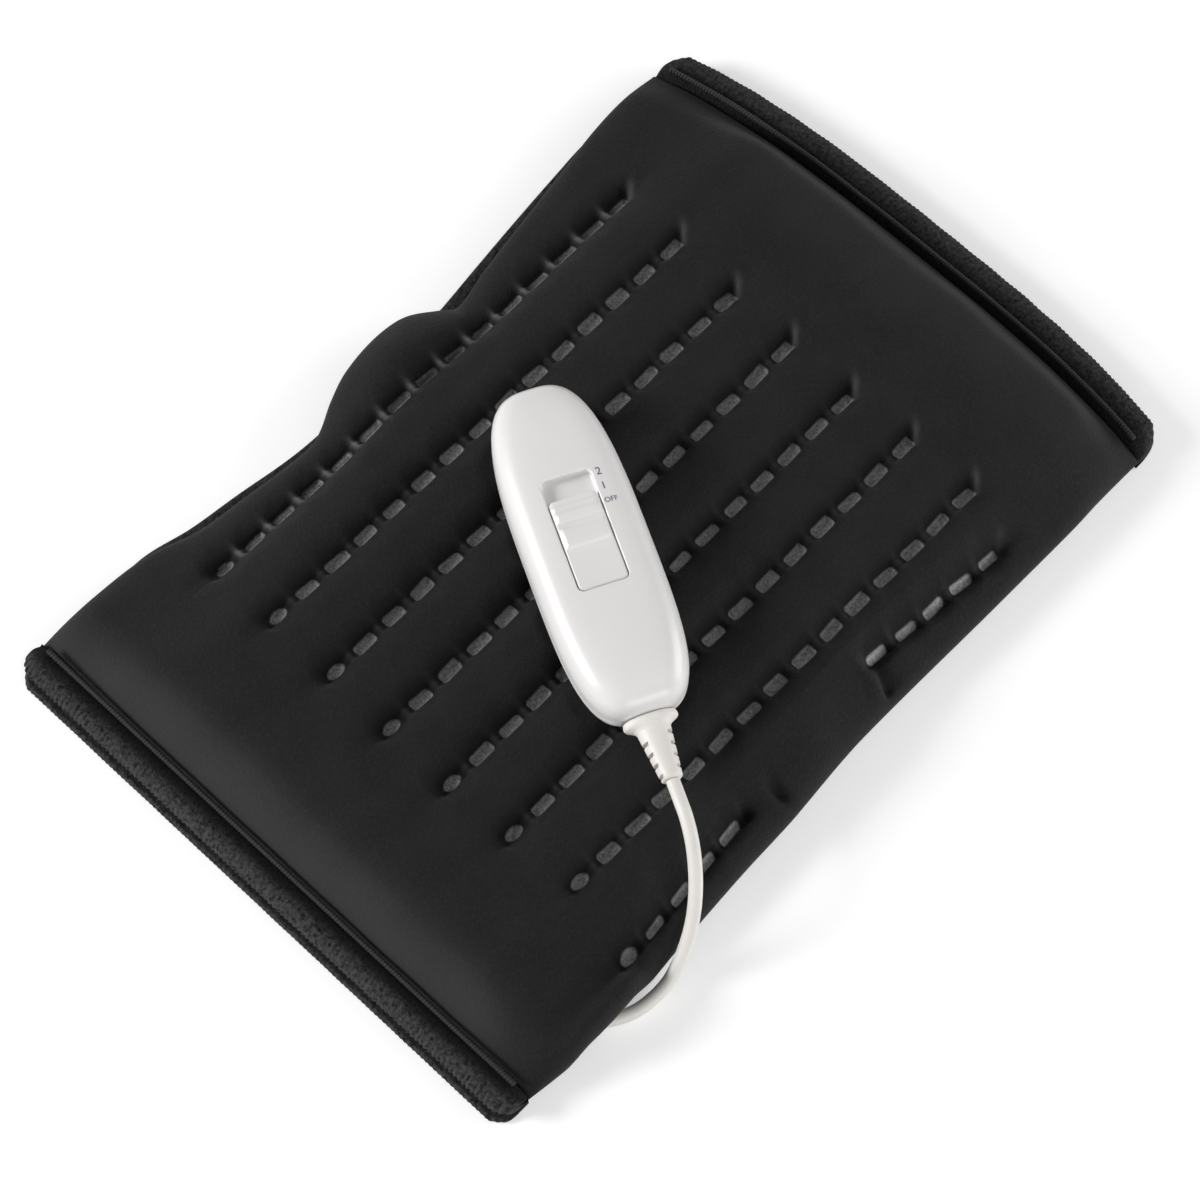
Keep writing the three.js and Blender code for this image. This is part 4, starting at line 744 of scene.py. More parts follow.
@dataclass
class PadForm:
    """Shape shared by the pad's layers, in millimetres, with X from the pocket end to the plain end."""

    half_length: float = 160.5
    half_width: float = 110.0
    pocket_seam: float = -148.0
    plain_seam: float = 147.5
    crest: float = 16.0
    end_crest: float = 12.3
    hump: float = 12.0
    seam_level: float = 4.3
    back_thickness: float = 4.0
    row_places: tuple[float, ...] = (-99.6, -75.0, -49.5, -24.6, 1.7, 27.4, 53.6, 80.4)
    row_centres: tuple[float, ...] = (-9.3, -3.6, -4.9, -6.1, -5.9, -4.8, -3.4, -0.6)
    row_lengths: tuple[float, ...] = (173.6, 176.8, 178.8, 179.3, 179.3, 178.7, 180.3, 182.0)
    near_row_line: Shares = (
        (-160, -100.0), (-95, -99.4), (-47, -95.2), (-10, -92.0), (28, -89.2), (53, -91.4), (78, -92.6),
        (160, -93.2),
    )
    rows_start: float = -95.5
    rows_end: float = 84.5
    press_level: float = 27.0
    control_place: Pair = (-16.5, -6.6)
    control_turn: float = math.radians(-27.5)
    far_edge_shares: Shares = (
        (-1, 0.966), (-0.78, 0.968), (-0.65, 0.95), (-0.54, 0.9), (-0.43, 0.88), (-0.25, 0.858),
        (-0.215, 0.874), (-0.155, 0.917), (-0.085, 0.95), (0.07, 0.958), (0.14, 0.9), (0.17, 0.868),
        (0.28, 0.898), (0.41, 0.93), (0.55, 0.962), (0.68, 0.99), (0.82, 1.003), (1, 0.99),
    )
    back_far_edge_shares: Shares = (
        (-1, 0.956), (-0.78, 0.966), (-0.65, 0.972), (-0.54, 0.938), (-0.43, 0.918), (-0.25, 0.885),
        (0.05, 0.9), (0.16, 0.915), (0.28, 0.938), (0.41, 0.962), (0.55, 0.985), (0.65, 0.998),
        (0.8, 1.003), (1, 0.975),
    )
    near_edge_shares: Shares = (
        (-1, 0.961), (-0.76, 1), (-0.46, 0.973), (-0.31, 0.961), (-0.17, 0.956), (0.04, 0.936),
        (0.44, 0.942), (0.7, 0.945), (0.78, 0.942), (1, 0.945),
    )
    corner_draw: float = 9.0
    hump_ease: float = 24.0
    hump_far_ease: float = 40.0
    hump_near_margin: float = 10.0
    hump_far_margin: float = 15.0
    lift_share: float = 0.8
    lift_ease: float = 14.0
    arch_place: float = -114.5
    arch_half: float = 11.1
    arch_height: float = 5.6
    arch_reach: float = 34.0
    arch_ease: float = 13.3

    @property
    def rows(self) -> int:
        """Number of rows of weld spots."""
        return len(self.row_places)

    def row_line(self, x: Array, phase: Array) -> Array:
        """Place across the pad of a phase: whole phases are the rows, and the near row, phase 0,
        follows the pad's near edge.

        Args:
            x: places along the pad.
            phase: the phases.

        Returns:
            The places across.
        """
        straight = np.interp(phase, np.arange(self.rows), self.row_places)
        bend = flowing_table(self.near_row_line, x) - self.row_places[0]
        return straight + np.maximum(0.0, 1.0 - phase) * bend

    def edge(self, shares: Shares, x: Array) -> Array:
        """Place of an edge across the pad, from a table of its shares of the half width."""
        return self.half_width * flowing_table(shares, x / self.half_length)

    def far_edge(self, x: Array) -> Array:
        """The front's far edge along the pad."""
        return self.edge(self.far_edge_shares, x)

    def back_far_edge(self, x: Array) -> Array:
        """The back's far edge along the pad."""
        return self.edge(self.back_far_edge_shares, x)

    def near_edge(self, x: Array) -> Array:
        """The near edge along the pad."""
        return -self.edge(self.near_edge_shares, x)

    def drawn_in(self, x: Array, y: Array) -> Array:
        """Place along the pad once the plain end's corners are drawn in, by the cube of the distance
        from the middle."""
        towards = smooth((x - self.rows_end) / (self.plain_seam - self.rows_end))
        return x - self.corner_draw * towards * np.abs(y / self.half_width) ** 3

    def across_share(self, y: Array) -> Array:
        """Share of the raised middle across the pad: an eased slope at the near and the far side."""
        near = smooth((y + self.half_width - self.hump_near_margin) / self.hump_ease)
        return near * smooth((self.half_width - self.hump_far_margin - y) / self.hump_far_ease)

    def hump_level(self, x: Array, y: Array) -> Array:
        """Height of the sole where the coiled lead lifts it: eased slopes along and across.

        Args:
            x: places along the pad.
            y: places across it.

        Returns:
            The heights.
        """
        from_pocket = smooth((x - self.pocket_seam) / self.hump_ease)
        along = from_pocket * smooth((self.plain_seam - x) / self.hump_ease)
        return self.hump * along * self.across_share(y)

    def underside(self, x: Array, y: Array) -> Array:
        """Height of the sole: the raised middle, or the low arch where the lead passes under the
        near edge.

        Args:
            x: places along the pad.
            y: places across it.

        Returns:
            The heights.
        """
        arch = smooth(1.8 - np.abs(x - self.arch_place) / self.arch_half)
        under = smooth((-self.half_width + self.arch_reach - y) / self.arch_ease)
        return np.maximum(self.hump_level(x, y), self.arch_height * arch * under)

    def top_lift(self, x: Array, y: Array) -> Array:
        """How far the top rides above the sole's own level: the filling is fuller by both ends, where
        the slope down is a shorter one.

        Args:
            x: places along the pad.
            y: places across it.

        Returns:
            The lifts.
        """
        from_end = np.minimum(self.plain_seam - x, x - self.pocket_seam)
        fuller = smooth(from_end / self.lift_ease) - smooth(from_end / self.hump_ease)
        return self.hump * self.lift_share * fuller * self.across_share(y)

    def control_frame(self, x: Array, y: Array) -> tuple[Array, Array]:
        """Places across and along the hand control: the offsets from its middle, turned back.

        Args:
            x: places along the pad.
            y: places across it.

        Returns:
            The places across and along the control.
        """
        dx, dy = x - self.control_place[0], y - self.control_place[1]
        c, s = math.cos(self.control_turn), math.sin(self.control_turn)
        return c * dx + s * dy, -s * dx + c * dy


@dataclass(frozen=True)
class SpotPlace:
    """Where points of the front lie beside the nearest row and its nearest weld spot: the row's
    number, the spot's number from the middle one, places across from the row and along from its
    middle and from the spot, half the row's length, the way to the middle of the gap between two
    spots, the share of the quilting that shows, and whether the row is the near or the far one."""

    row: Array
    spot: Array
    off: Array
    along: Array
    step: Array
    reach: Array
    gap: Array
    shown: Array
    near: Array
    far: Array


@dataclass
class QuiltedFront:
    """Front panel: rows of weld spots in soft channels between padded ribs."""

    form: PadForm
    spots: int = 15
    spot_half: Pair = (4.15, 1.85)
    end_spot_half: Pair = (3.2, 1.9)
    spot_corner: float = 1.0
    spot_depth: float = 1.1
    spot_wall: float = 0.9
    spot_shift: float = 0.35
    spot_drop: float = 0.2
    spot_lean: float = 0.06
    spot_swing: Pair = (0.07, 0.1)
    spot_seed: int = 11
    near_spot_width: float = 0.62
    far_spot_width: float = 0.78
    far_spot_rim: float = 0.42
    near_gap_spots: int = 3
    no_spot: float = 5.0
    row_trim: float = 2.6
    row_ends: tuple[Point, ...] = ((0.62, 4.2, 4.4), (0.38, 15.0, 14.0))
    channel_depth: float = 6.2
    channel_floor: float = 1.5
    channel_half: float = 12.9
    channel_power: float = 3.0
    near_channel_power: float = 7.0
    far_channel_power: float = 4.2
    far_channel_depth: float = 0.92
    near_tilt: float = 0.9
    bridge_height: float = 1.7
    bridge_half: Pair = (1.5, 3.6)
    far_bridge: float = 1.3
    tail_depth: float = 1.7
    tail_slope: float = 0.75
    step: float = 0.74
    steps_a_rib: int = 30
    steps_at_edges: tuple[int, int] = (16, 34)
    steps_at_ends: tuple[int, int] = (60, 34)
    steps_under: int = 18
    fine_beyond: Pair = (8.0, 14.0)
    shoulder: float = 10.0
    plain_shoulder: float = 15.0
    far_rounding: float = 22.0
    near_rounding: float = 10.0
    squareness: float = 2.2
    edge_lip: float = 0.9
    crest_ease: float = 18.0
    quilt_share: float = 0.9
    bump_height: float = 8.0
    near_bump_height: float = 5.0
    wrinkle_height: float = 0.16
    wrinkle_calm: float = 0.08
    wrinkle_seed: int = 7
    fold_from: Pair = (25.1, -86.2)
    fold_to: Pair = (19.1, -103.2)
    fold_depth: float = 6.6
    fold_lip: float = 1.2
    puckers: tuple[tuple[float, float, float, float, float], ...] = (
        (4.6, -27.5, -97.6, 2.3, 4.2), (-1.6, -23.4, -96.4, 2.0, 3.4), (4.4, -38.8, -95.6, 3.0, 2.6),
    )
    hidden_from: float = -41.0
    hidden_to: float = 22.5
    press_half: Pair = (20.0, 57.5)
    press_corner: float = 18.0
    press_rise: float = 6.0
    pressure: float = 4.0
    cloth_stiffness: float = 8.0
    cloth_bending: float = 0.3
    cloth_every: int = 3
    cloth_frames: int = 20
    cap: float = 2.2

    def stations_along(self) -> Array:
        """Places of the rings along the pad: even over the rows, and eased wider apart towards the
        ends, with short steps again at both seams.

        Returns:
            The places.
        """
        f = self.form
        start, stop = f.rows_start - self.fine_beyond[0], f.rows_end + self.fine_beyond[1]
        middle = np.arange(start, stop, self.step)
        pocket, plain = (smooth(np.linspace(0, 1, count)) for count in self.steps_at_ends)
        return np.concatenate([f.pocket_seam + (start - f.pocket_seam) * pocket[:-1], middle,
                               middle[-1] + (f.plain_seam - middle[-1]) * plain[1:]])

    def stations_across(self, x: Array) -> tuple[Array, Array]:
        """Places across the pad for each ring and the phase of the rows there. A power and a sine
        of the count make the step finest at the rows and at both edges.

        Args:
            x: places of the rings, as a column.

        Returns:
            Places and phases, of shape (rings, points).
        """
        f = self.form
        near, far = f.near_edge(x), f.far_edge(x)
        pitch = f.row_places[1] - f.row_places[0]
        first, last = f.row_line(x, np.zeros(1)), f.row_places[-1]
        near_steps, far_steps = self.steps_at_edges
        near_y = near + (first - near) * (np.arange(near_steps) / near_steps) ** 1.6
        t = np.arange((f.rows - 1) * self.steps_a_rib) / self.steps_a_rib
        phase = t - 0.55 * np.sin(TURN * t) / TURN
        s = np.linspace(0, 1, far_steps)
        far_y = last + (far - last) * (0.4 * s + 0.6 * (1 - (1 - s) ** 1.8))
        phases = [(near_y - first) / pitch, phase + 0 * x, f.rows - 1 + (far_y - last) / pitch]
        return np.hstack([near_y, f.row_line(x, phase), far_y]), np.hstack(phases)

    def spot_place(self, x: Array, y: Array, phase: Array) -> SpotPlace:
        """Finds each point's nearest row and weld spot. The quilting shows by eased shares at a
        row's ends, and not at all where the near row is hidden.

        Args:
            x: places along the pad.
            y: places across it.
            phase: the phase of the rows there.

        Returns:
            The places beside them.
        """
        f = self.form
        row = np.clip(np.rint(phase), 0, f.rows - 1).astype(int)
        near, far = row == 0, row == f.rows - 1
        off = y - np.where(near, f.row_line(x, np.zeros(1)), np.array(f.row_places)[row])
        pitch = np.array(f.row_lengths)[row] / (self.spots - 1)
        along = x - np.array(f.row_centres)[row]
        reach = self.spots / 2 * pitch - self.row_trim
        ends = sum(share * smooth((reach + over - np.abs(along)) / ease)
                   for share, over, ease in self.row_ends)
        hidden = smooth((x - self.hidden_from) / 6) * smooth((self.hidden_to - x) / 4)
        spot = np.clip(np.rint(along / pitch), -(self.spots // 2), self.spots // 2)
        step = along - spot * pitch
        gap = np.minimum(pitch / 2 - np.abs(step), 3.0) * (np.abs(along) < reach)
        return SpotPlace(row, spot, off, along, step, reach, gap,
                         ends * (1 - np.where(near, hidden, 0.0)), near, far)

    def spot_marks(self, at: SpotPlace) -> Array:
        """Signed distance to the nearest weld spot, a rounded rectangle, or an oval at the pocket end
        of a row. The welding tool leaves each spot a little off its place, turned and longer or
        wider, by seeded shares.

        Args:
            at: the points' places beside the spots.

        Returns:
            The distances.
        """
        f = self.form
        middle = self.spots // 2
        width = np.where(at.near, self.near_spot_width, np.where(at.far, self.far_spot_width, 1.0))
        uneven = np.random.default_rng(self.spot_seed).uniform(-1.0, 1.0, (f.rows, self.spots, 4))
        shift, lean, longer, wider = np.moveaxis(uneven[at.row, (at.spot + middle).astype(int)], -1, 0)
        mark = rounded_box_distance(
            at.step - self.spot_shift * shift,
            at.off - self.spot_drop * wider - self.spot_lean * lean * at.step,
            self.spot_half[0] * (1 + self.spot_swing[0] * longer),
            self.spot_half[1] * width * (1 + self.spot_swing[1] * wider), self.spot_corner)
        long, wide = self.end_spot_half
        oval = (np.hypot(at.step / long, at.off / wide) - 1) * wide
        mark = np.where(at.spot == -middle, oval, mark)
        return np.where(at.near & (np.abs(at.spot) < self.near_gap_spots), self.no_spot, mark)

    def tail(self, at: SpotPlace, shift: float, width: float) -> Array:
        """Slanting tail past the plain end of a row: a bell across its line, eased at both ends.

        Args:
            at: the points' places beside the spots.
            shift: how far across the bell is moved.
            width: the bell's width.

        Returns:
            The shares.
        """
        past = at.along - at.reach
        shown = smooth((past + 2.0) / 3.0) * smooth((7.0 - past) / 6.0)
        return shown * bell((at.off - self.tail_slope * past + shift) / width)

    def quilting(self, at: SpotPlace, mark: Array) -> Array:
        """Depth pressed into the top. A channel is flat at its row and rises as one less a power of
        what is left of the way to the crest of the rib. Each spot adds a pocket with a bell on either
        side, the cloth bridges up between two spots as a bell, and the near row tilts outwards.

        Args:
            at: the points' places beside the spots.
            mark: the signed distance to the nearest spot.

        Returns:
            The depths.
        """
        power = np.where(at.near & (at.off < 0), self.near_channel_power,
                         np.where(at.far & (at.off < 0), self.far_channel_power, self.channel_power))
        flank = (np.abs(at.off) - self.channel_floor) / (self.channel_half - self.channel_floor)
        depth = self.channel_depth * np.where(at.far, self.far_channel_depth, 1.0)
        depth = depth * (1 - np.clip(flank, 0, 1)) ** power
        depth += self.spot_depth * smooth(0.5 - mark / self.spot_wall)
        bridge = bell(at.gap / self.bridge_half[0]) * bell(at.off / self.bridge_half[1])
        bridge *= self.bridge_height * np.where(at.far, self.far_bridge, 1.0)
        depth -= bridge * (np.abs(at.along) < at.reach - 2.0)
        depth += 0.5 * bell(at.step / 2.6) * bell((np.abs(at.off) - 4.6) / 2.4)
        tilt = np.where(at.near, -self.near_tilt, 0.0)
        depth += tilt * np.clip(at.off, -2.4, 2.4) * bell(at.off / 4.4)
        return depth * at.shown + self.tail_depth * self.tail(at, 0.0, 1.9)

    def drawn(self, x: Array, y: Array, at: SpotPlace, mark: Array) -> Array:
        """Painted light on the jersey: painted highlights on the near row's spots, which the ribs keep
        from the low lamp, on the bridges between spots, most on the far row, and on the tails; and
        painted light by eased slopes towards both ends, where the cloth turns to the lamps.

        Args:
            x: places along the pad.
            y: places across it.
            at: the points' places beside the spots.
            mark: the signed distance to the nearest spot.

        Returns:
            The shares, from 0 to 1.
        """
        # Painted highlight on the near row's spots.
        pull = np.where(at.near, 0.75, 0.0) * smooth(0.5 - mark / 0.6)
        # Painted highlight on the tails, for their lit end walls.
        pull += 0.4 * self.tail(at, 1.1, 1.6) * (at.along - at.reach > -1.5)
        # Painted light on the slopes that turn to the lamps by both ends.
        from_near = y - self.form.near_edge(x)
        pull += 0.16 * smooth((-126.0 - x) / 20.0) * smooth((from_near - 2.0) / 26.0)
        pull += 0.05 * smooth((x - 108.0) / 24.0) * smooth((90.0 - y) / 70.0)
        # Painted highlights on the bridges between spots, strongest on the far row.
        spanned = bell(at.gap / 0.9) * bell(at.off / 2.6) * (np.abs(at.along) < at.reach - 2.0)
        pull += np.where(at.far, 0.9, 0.1) * spanned * at.shown
        return np.clip(pull, 0.0, 1.0)

    def gathers(self, x: Array, y: Array) -> Array:
        """Depth of the small puckers beside the near row's gap: bells about their middles."""
        return sum(depth * bell(np.hypot((x - u) / long, (y - v) / wide))
                   for depth, u, v, long, wide in self.puckers)

    def fold(self, x: Array, y: Array) -> Array:
        """Depth of the fold from the near row out to the near edge: an eased step down across the
        line between its two ends, which fades by a power of e beyond it, with a low bell before it.

        Args:
            x: places along the pad.
            y: places across it.

        Returns:
            The depths.
        """
        (ax, ay), (bx, by) = self.fold_from, self.fold_to
        length = math.hypot(bx - ax, by - ay)
        ux, uy = (bx - ax) / length, (by - ay) / length
        along = (x - ax) * ux + (y - ay) * uy
        across = -(x - ax) * uy + (y - ay) * ux
        inside = smooth((along + 3) / 6) * smooth((length + 3 - along) / 8)
        fall = smooth((across + 1.7) / 3.4) * np.exp(-np.maximum(across, 0) / 4.2)
        return inside * (self.fold_depth * fall - self.fold_lip * bell((across + 2.8) / 2.6))

    def wrinkles(self, x: Array, y: Array) -> Array:
        """Slow swells of the cloth: a sum of seeded sine waves 28 to 90 mm long, fuller at the ends.

        Args:
            x: places along the pad.
            y: places across it.

        Returns:
            The heights.
        """
        f = self.form
        rng = np.random.default_rng(self.wrinkle_seed)
        total = np.zeros_like(x + y)
        for _ in range(9):
            length, angle, start = rng.uniform(28, 90), rng.uniform(0, math.pi), rng.uniform(0, TURN)
            total += np.sin(TURN * (x * math.cos(angle) + y * math.sin(angle)) / length + start)
        calm = smooth((f.rows_end - x) / 30) * smooth((x - f.rows_start) / 30)
        return total * (self.wrinkle_height - self.wrinkle_calm * calm)

    def top(self, x: Array, y: Array, phase: Array) -> tuple[Array, Array, Array]:
        """Height of the top face: rounded edges up to the crest, two wide bells by the edges' waists,
        less the quilting and the fold, plus the wrinkles, on the sole's own level.

        Args:
            x: places along the pad.
            y: places across it.
            phase: the phase of the rows there.

        Returns:
            The heights, the signed distance to the nearest weld spot, on the far row to its rim so that
            the spot's middle takes painted shade, and the share of painted light on the jersey.
        """
        f = self.form
        from_far, from_near = f.far_edge(x) - y, y - f.near_edge(x)
        rise = np.minimum(rounded_rise(from_far / self.far_rounding, self.squareness),
                          rounded_rise(from_near / self.near_rounding, self.squareness))
        from_end = np.minimum(x - f.pocket_seam, f.plain_seam - x)
        crest = f.end_crest + (f.crest - f.end_crest) * smooth(from_end / self.crest_ease)
        edge = f.seam_level + self.edge_lip
        body = (crest - edge) * rise
        body = body + self.bump_height * bell((x + 5.0) / 20.0) * bell((from_far - 14.0) / 14.0)
        body += self.near_bump_height * bell((x + 10.0) / 20.0) * bell((from_near - 11.0) / 11.0)
        at = self.spot_place(x, y, phase)
        mark = self.spot_marks(at)
        fold = smooth(from_near / 4.5) * self.fold(x, y)
        quilt = np.maximum(self.quilting(at, mark) + self.gathers(x, y), fold) + np.minimum(fold, 0.0)
        away = smooth(np.minimum(from_far, from_near) / 8.0)
        shape = body - np.minimum(quilt, body * self.quilt_share) + away * self.wrinkles(x, y)
        end = rounded_rise((from_end + 0.2) / np.where(x > 0, self.plain_shoulder, self.shoulder), 2.0)
        sole, raised = f.underside(x, y), f.hump_level(x, y)
        sole = raised + (sole - raised) * smooth((9.0 - from_near) / 7.0)
        # Painted light on the jersey.
        pull = self.drawn(x, y, at, mark)
        # On the far row a spot's middle reads as outside it, so only its rim is grey and its middle
        # takes the painted shade round the spots, for the shade of the deep channel.
        rim = np.clip(np.abs(mark + self.far_spot_rim) - self.far_spot_rim, -0.05, 0.08)
        mark = np.where(at.far & (mark < 0.0), rim, mark)
        return sole + edge + (shape + f.top_lift(x, y)) * end, mark, pull

    def pressed(self, x: Array, y: Array, z: Array) -> Array:
        """Height under the hand control: held below a level that rises outwards by an ease.

        Args:
            x: places along the pad.
            y: places across it.
            z: the heights.

        Returns:
            The heights where they are pressed.
        """
        outside = rounded_box_distance(*self.form.control_frame(x, y), *self.press_half,
                                       self.press_corner)
        ceiling = self.form.press_level + self.press_rise * smooth((outside + 3.0) / 16.0)
        return np.where(outside < 13.0, np.minimum(z, ceiling), z)

    def swelling(self, x: Array, y: Array, z: Array, mark: Array) -> Array:
        """How far each point of the top moves when the filling swells the cloth.

        A sheet of every third ring and point is held at the weld spots and round its border and run
        as cloth for twenty frames, with pressure from below and no gravity. The moves are capped,
        evened out by two binomial passes, and spread back over all points along cubic curves.

        Args:
            x: places of the rings, as a column.
            y: places across, of shape (rings, points).
            z: heights, of the same shape.
            mark: signed distance to the nearest weld spot, of the same shape.

        Returns:
            The moves, of shape (rings, points, 3), in millimetres.
        """
        every = self.cloth_every
        points = np.stack([x + 0 * y, y, z], axis=2)[::every, ::every]
        n, m = points.shape[:2]
        faces = grid_quads(n, m)[:, ::-1]
        sheet = new_object("swelling", Surface(points.reshape(-1, 3), faces).mesh("swelling"))
        held = mark[::every, ::every] < 0.5
        held[[0, -1]], held[:, [0, -1]] = True, True
        sheet.vertex_groups.new(name="held").add(np.flatnonzero(held.ravel()).tolist(), 1.0, "REPLACE")
        cloth = sheet.modifiers.new("filling", "CLOTH")
        settings = cloth.settings
        settings.quality, settings.mass = 6, 0.2
        settings.tension_stiffness = settings.compression_stiffness = self.cloth_stiffness
        settings.bending_stiffness = self.cloth_bending
        settings.use_pressure, settings.uniform_pressure_force = True, self.pressure
        settings.effector_weights.gravity = 0.0
        settings.vertex_group_mass = "held"
        cloth.collision_settings.use_collision = False
        scene = bpy.context.scene
        for frame_number in range(1, self.cloth_frames + 1):
            scene.frame_set(frame_number)
        swollen = np.zeros(n * m * 3)
        evaluated = sheet.evaluated_get(bpy.context.evaluated_depsgraph_get())
        evaluated.data.vertices.foreach_get("co", swollen)
        scene.frame_set(1)
        bpy.data.objects.remove(sheet)
        moved = swollen.reshape(n, m, 3) / MM - points
        far = np.linalg.norm(moved, axis=2, keepdims=True)
        moved *= np.tanh(far / self.cap) * self.cap / np.maximum(far, 1e-6)
        for _ in range(2):
            moved[1:-1] = (moved[:-2] + 2 * moved[1:-1] + moved[2:]) / 4
            moved[:, 1:-1] = (moved[:, :-2] + 2 * moved[:, 1:-1] + moved[:, 2:]) / 4
        log.info("swelling: %.2f mm on average, %.2f mm at most", far.mean(), far.max())
        rows = cubic_spread(moved, z.shape[0], every)
        return cubic_spread(rows.transpose(1, 0, 2), z.shape[1], every).transpose(1, 0, 2)

    def surface(self) -> Surface:
        """Closed skin: each ring runs up over the top from the near edge to the far edge and back
        along the underside.

        Returns:
            The skin, with the distance to the weld spots and the painted light kept at its points.
        """
        f = self.form
        x = self.stations_along()[:, None]
        y, phase = self.stations_across(x)
        z, mark, pull = self.top(x, y, phase)
        z = self.pressed(x, y, z)
        moved = self.swelling(x, y, z, mark)
        top_x, y = x + moved[..., 0], y + moved[..., 1]
        z = self.pressed(top_x, y, z + moved[..., 2])
        t = (1 - np.cos(math.pi * (np.arange(self.steps_under) + 0.5) / self.steps_under)) / 2
        low_y = y[:, -1:] + (y[:, :1] - y[:, -1:]) * t
        ring_y = np.hstack([y, low_y])
        ring_z = np.hstack([z, f.underside(x, low_y) + f.seam_level])
        ring_x = f.drawn_in(np.hstack([top_x, x + 0 * low_y]), ring_y)
        return loft(np.stack([ring_x, ring_y, ring_z], axis=2),
                    weld=np.hstack([mark, self.no_spot + 0 * low_y]),
                    pull=np.hstack([pull, 0 * low_y]))

    def build(self) -> Piece:
        """Returns:
            The piece.
        """
        piece = put_piece("quilted_front", self.surface(), NEOPRENE, ("front_panel",))
        return piece


@dataclass
class PadBack:
    """Back panel of brushed cloth, which shows as a thin layer under the far edge and from below."""

    form: PadForm
    rings: int = 190
    columns: int = 90
    edge_inset: float = 1.1
    edge_rounding: float = 2.4
    edge_share: float = 0.12
    nap: float = 0.45

    def surface(self) -> Surface:
        """Sheet of even thickness whose edges are rounded by a half superellipse.

        Returns:
            The sheet, with its nap kept at its points.
        """
        f = self.form
        s = np.linspace(0, 1, self.rings)[:, None]
        x = f.pocket_seam + (f.plain_seam - f.pocket_seam) * s
        near, far = f.near_edge(x) + self.edge_inset, f.back_far_edge(x)
        t = (1 - np.cos(math.pi * np.arange(self.columns + 1) / self.columns)) / 2
        y = near + (far - near) * t
        rise = rounded_rise(np.minimum(y - near, far - y) / self.edge_rounding, 2.0)
        half = f.back_thickness / 2 * (self.edge_share + (1 - self.edge_share) * rise)
        middle = f.underside(x, y) + f.back_thickness / 2
        ring_y = np.hstack([y, y[:, ::-1]])
        ring_z = np.hstack([middle + half, (middle - half)[:, ::-1]])
        ring_x = f.drawn_in(x + 0 * ring_y, ring_y)
        return loft(np.stack([ring_x, ring_y, ring_z], axis=2), nap=np.full((1, 1), self.nap))

    def build(self) -> Piece:
        """Returns:
            The piece.
        """
        piece = put_piece("fleece_back", self.surface(), FLEECE, ("back_panel",))
        return piece


class End(Enum):
    """The two ends of the pad."""

    POCKET = -1
    PLAIN = 1


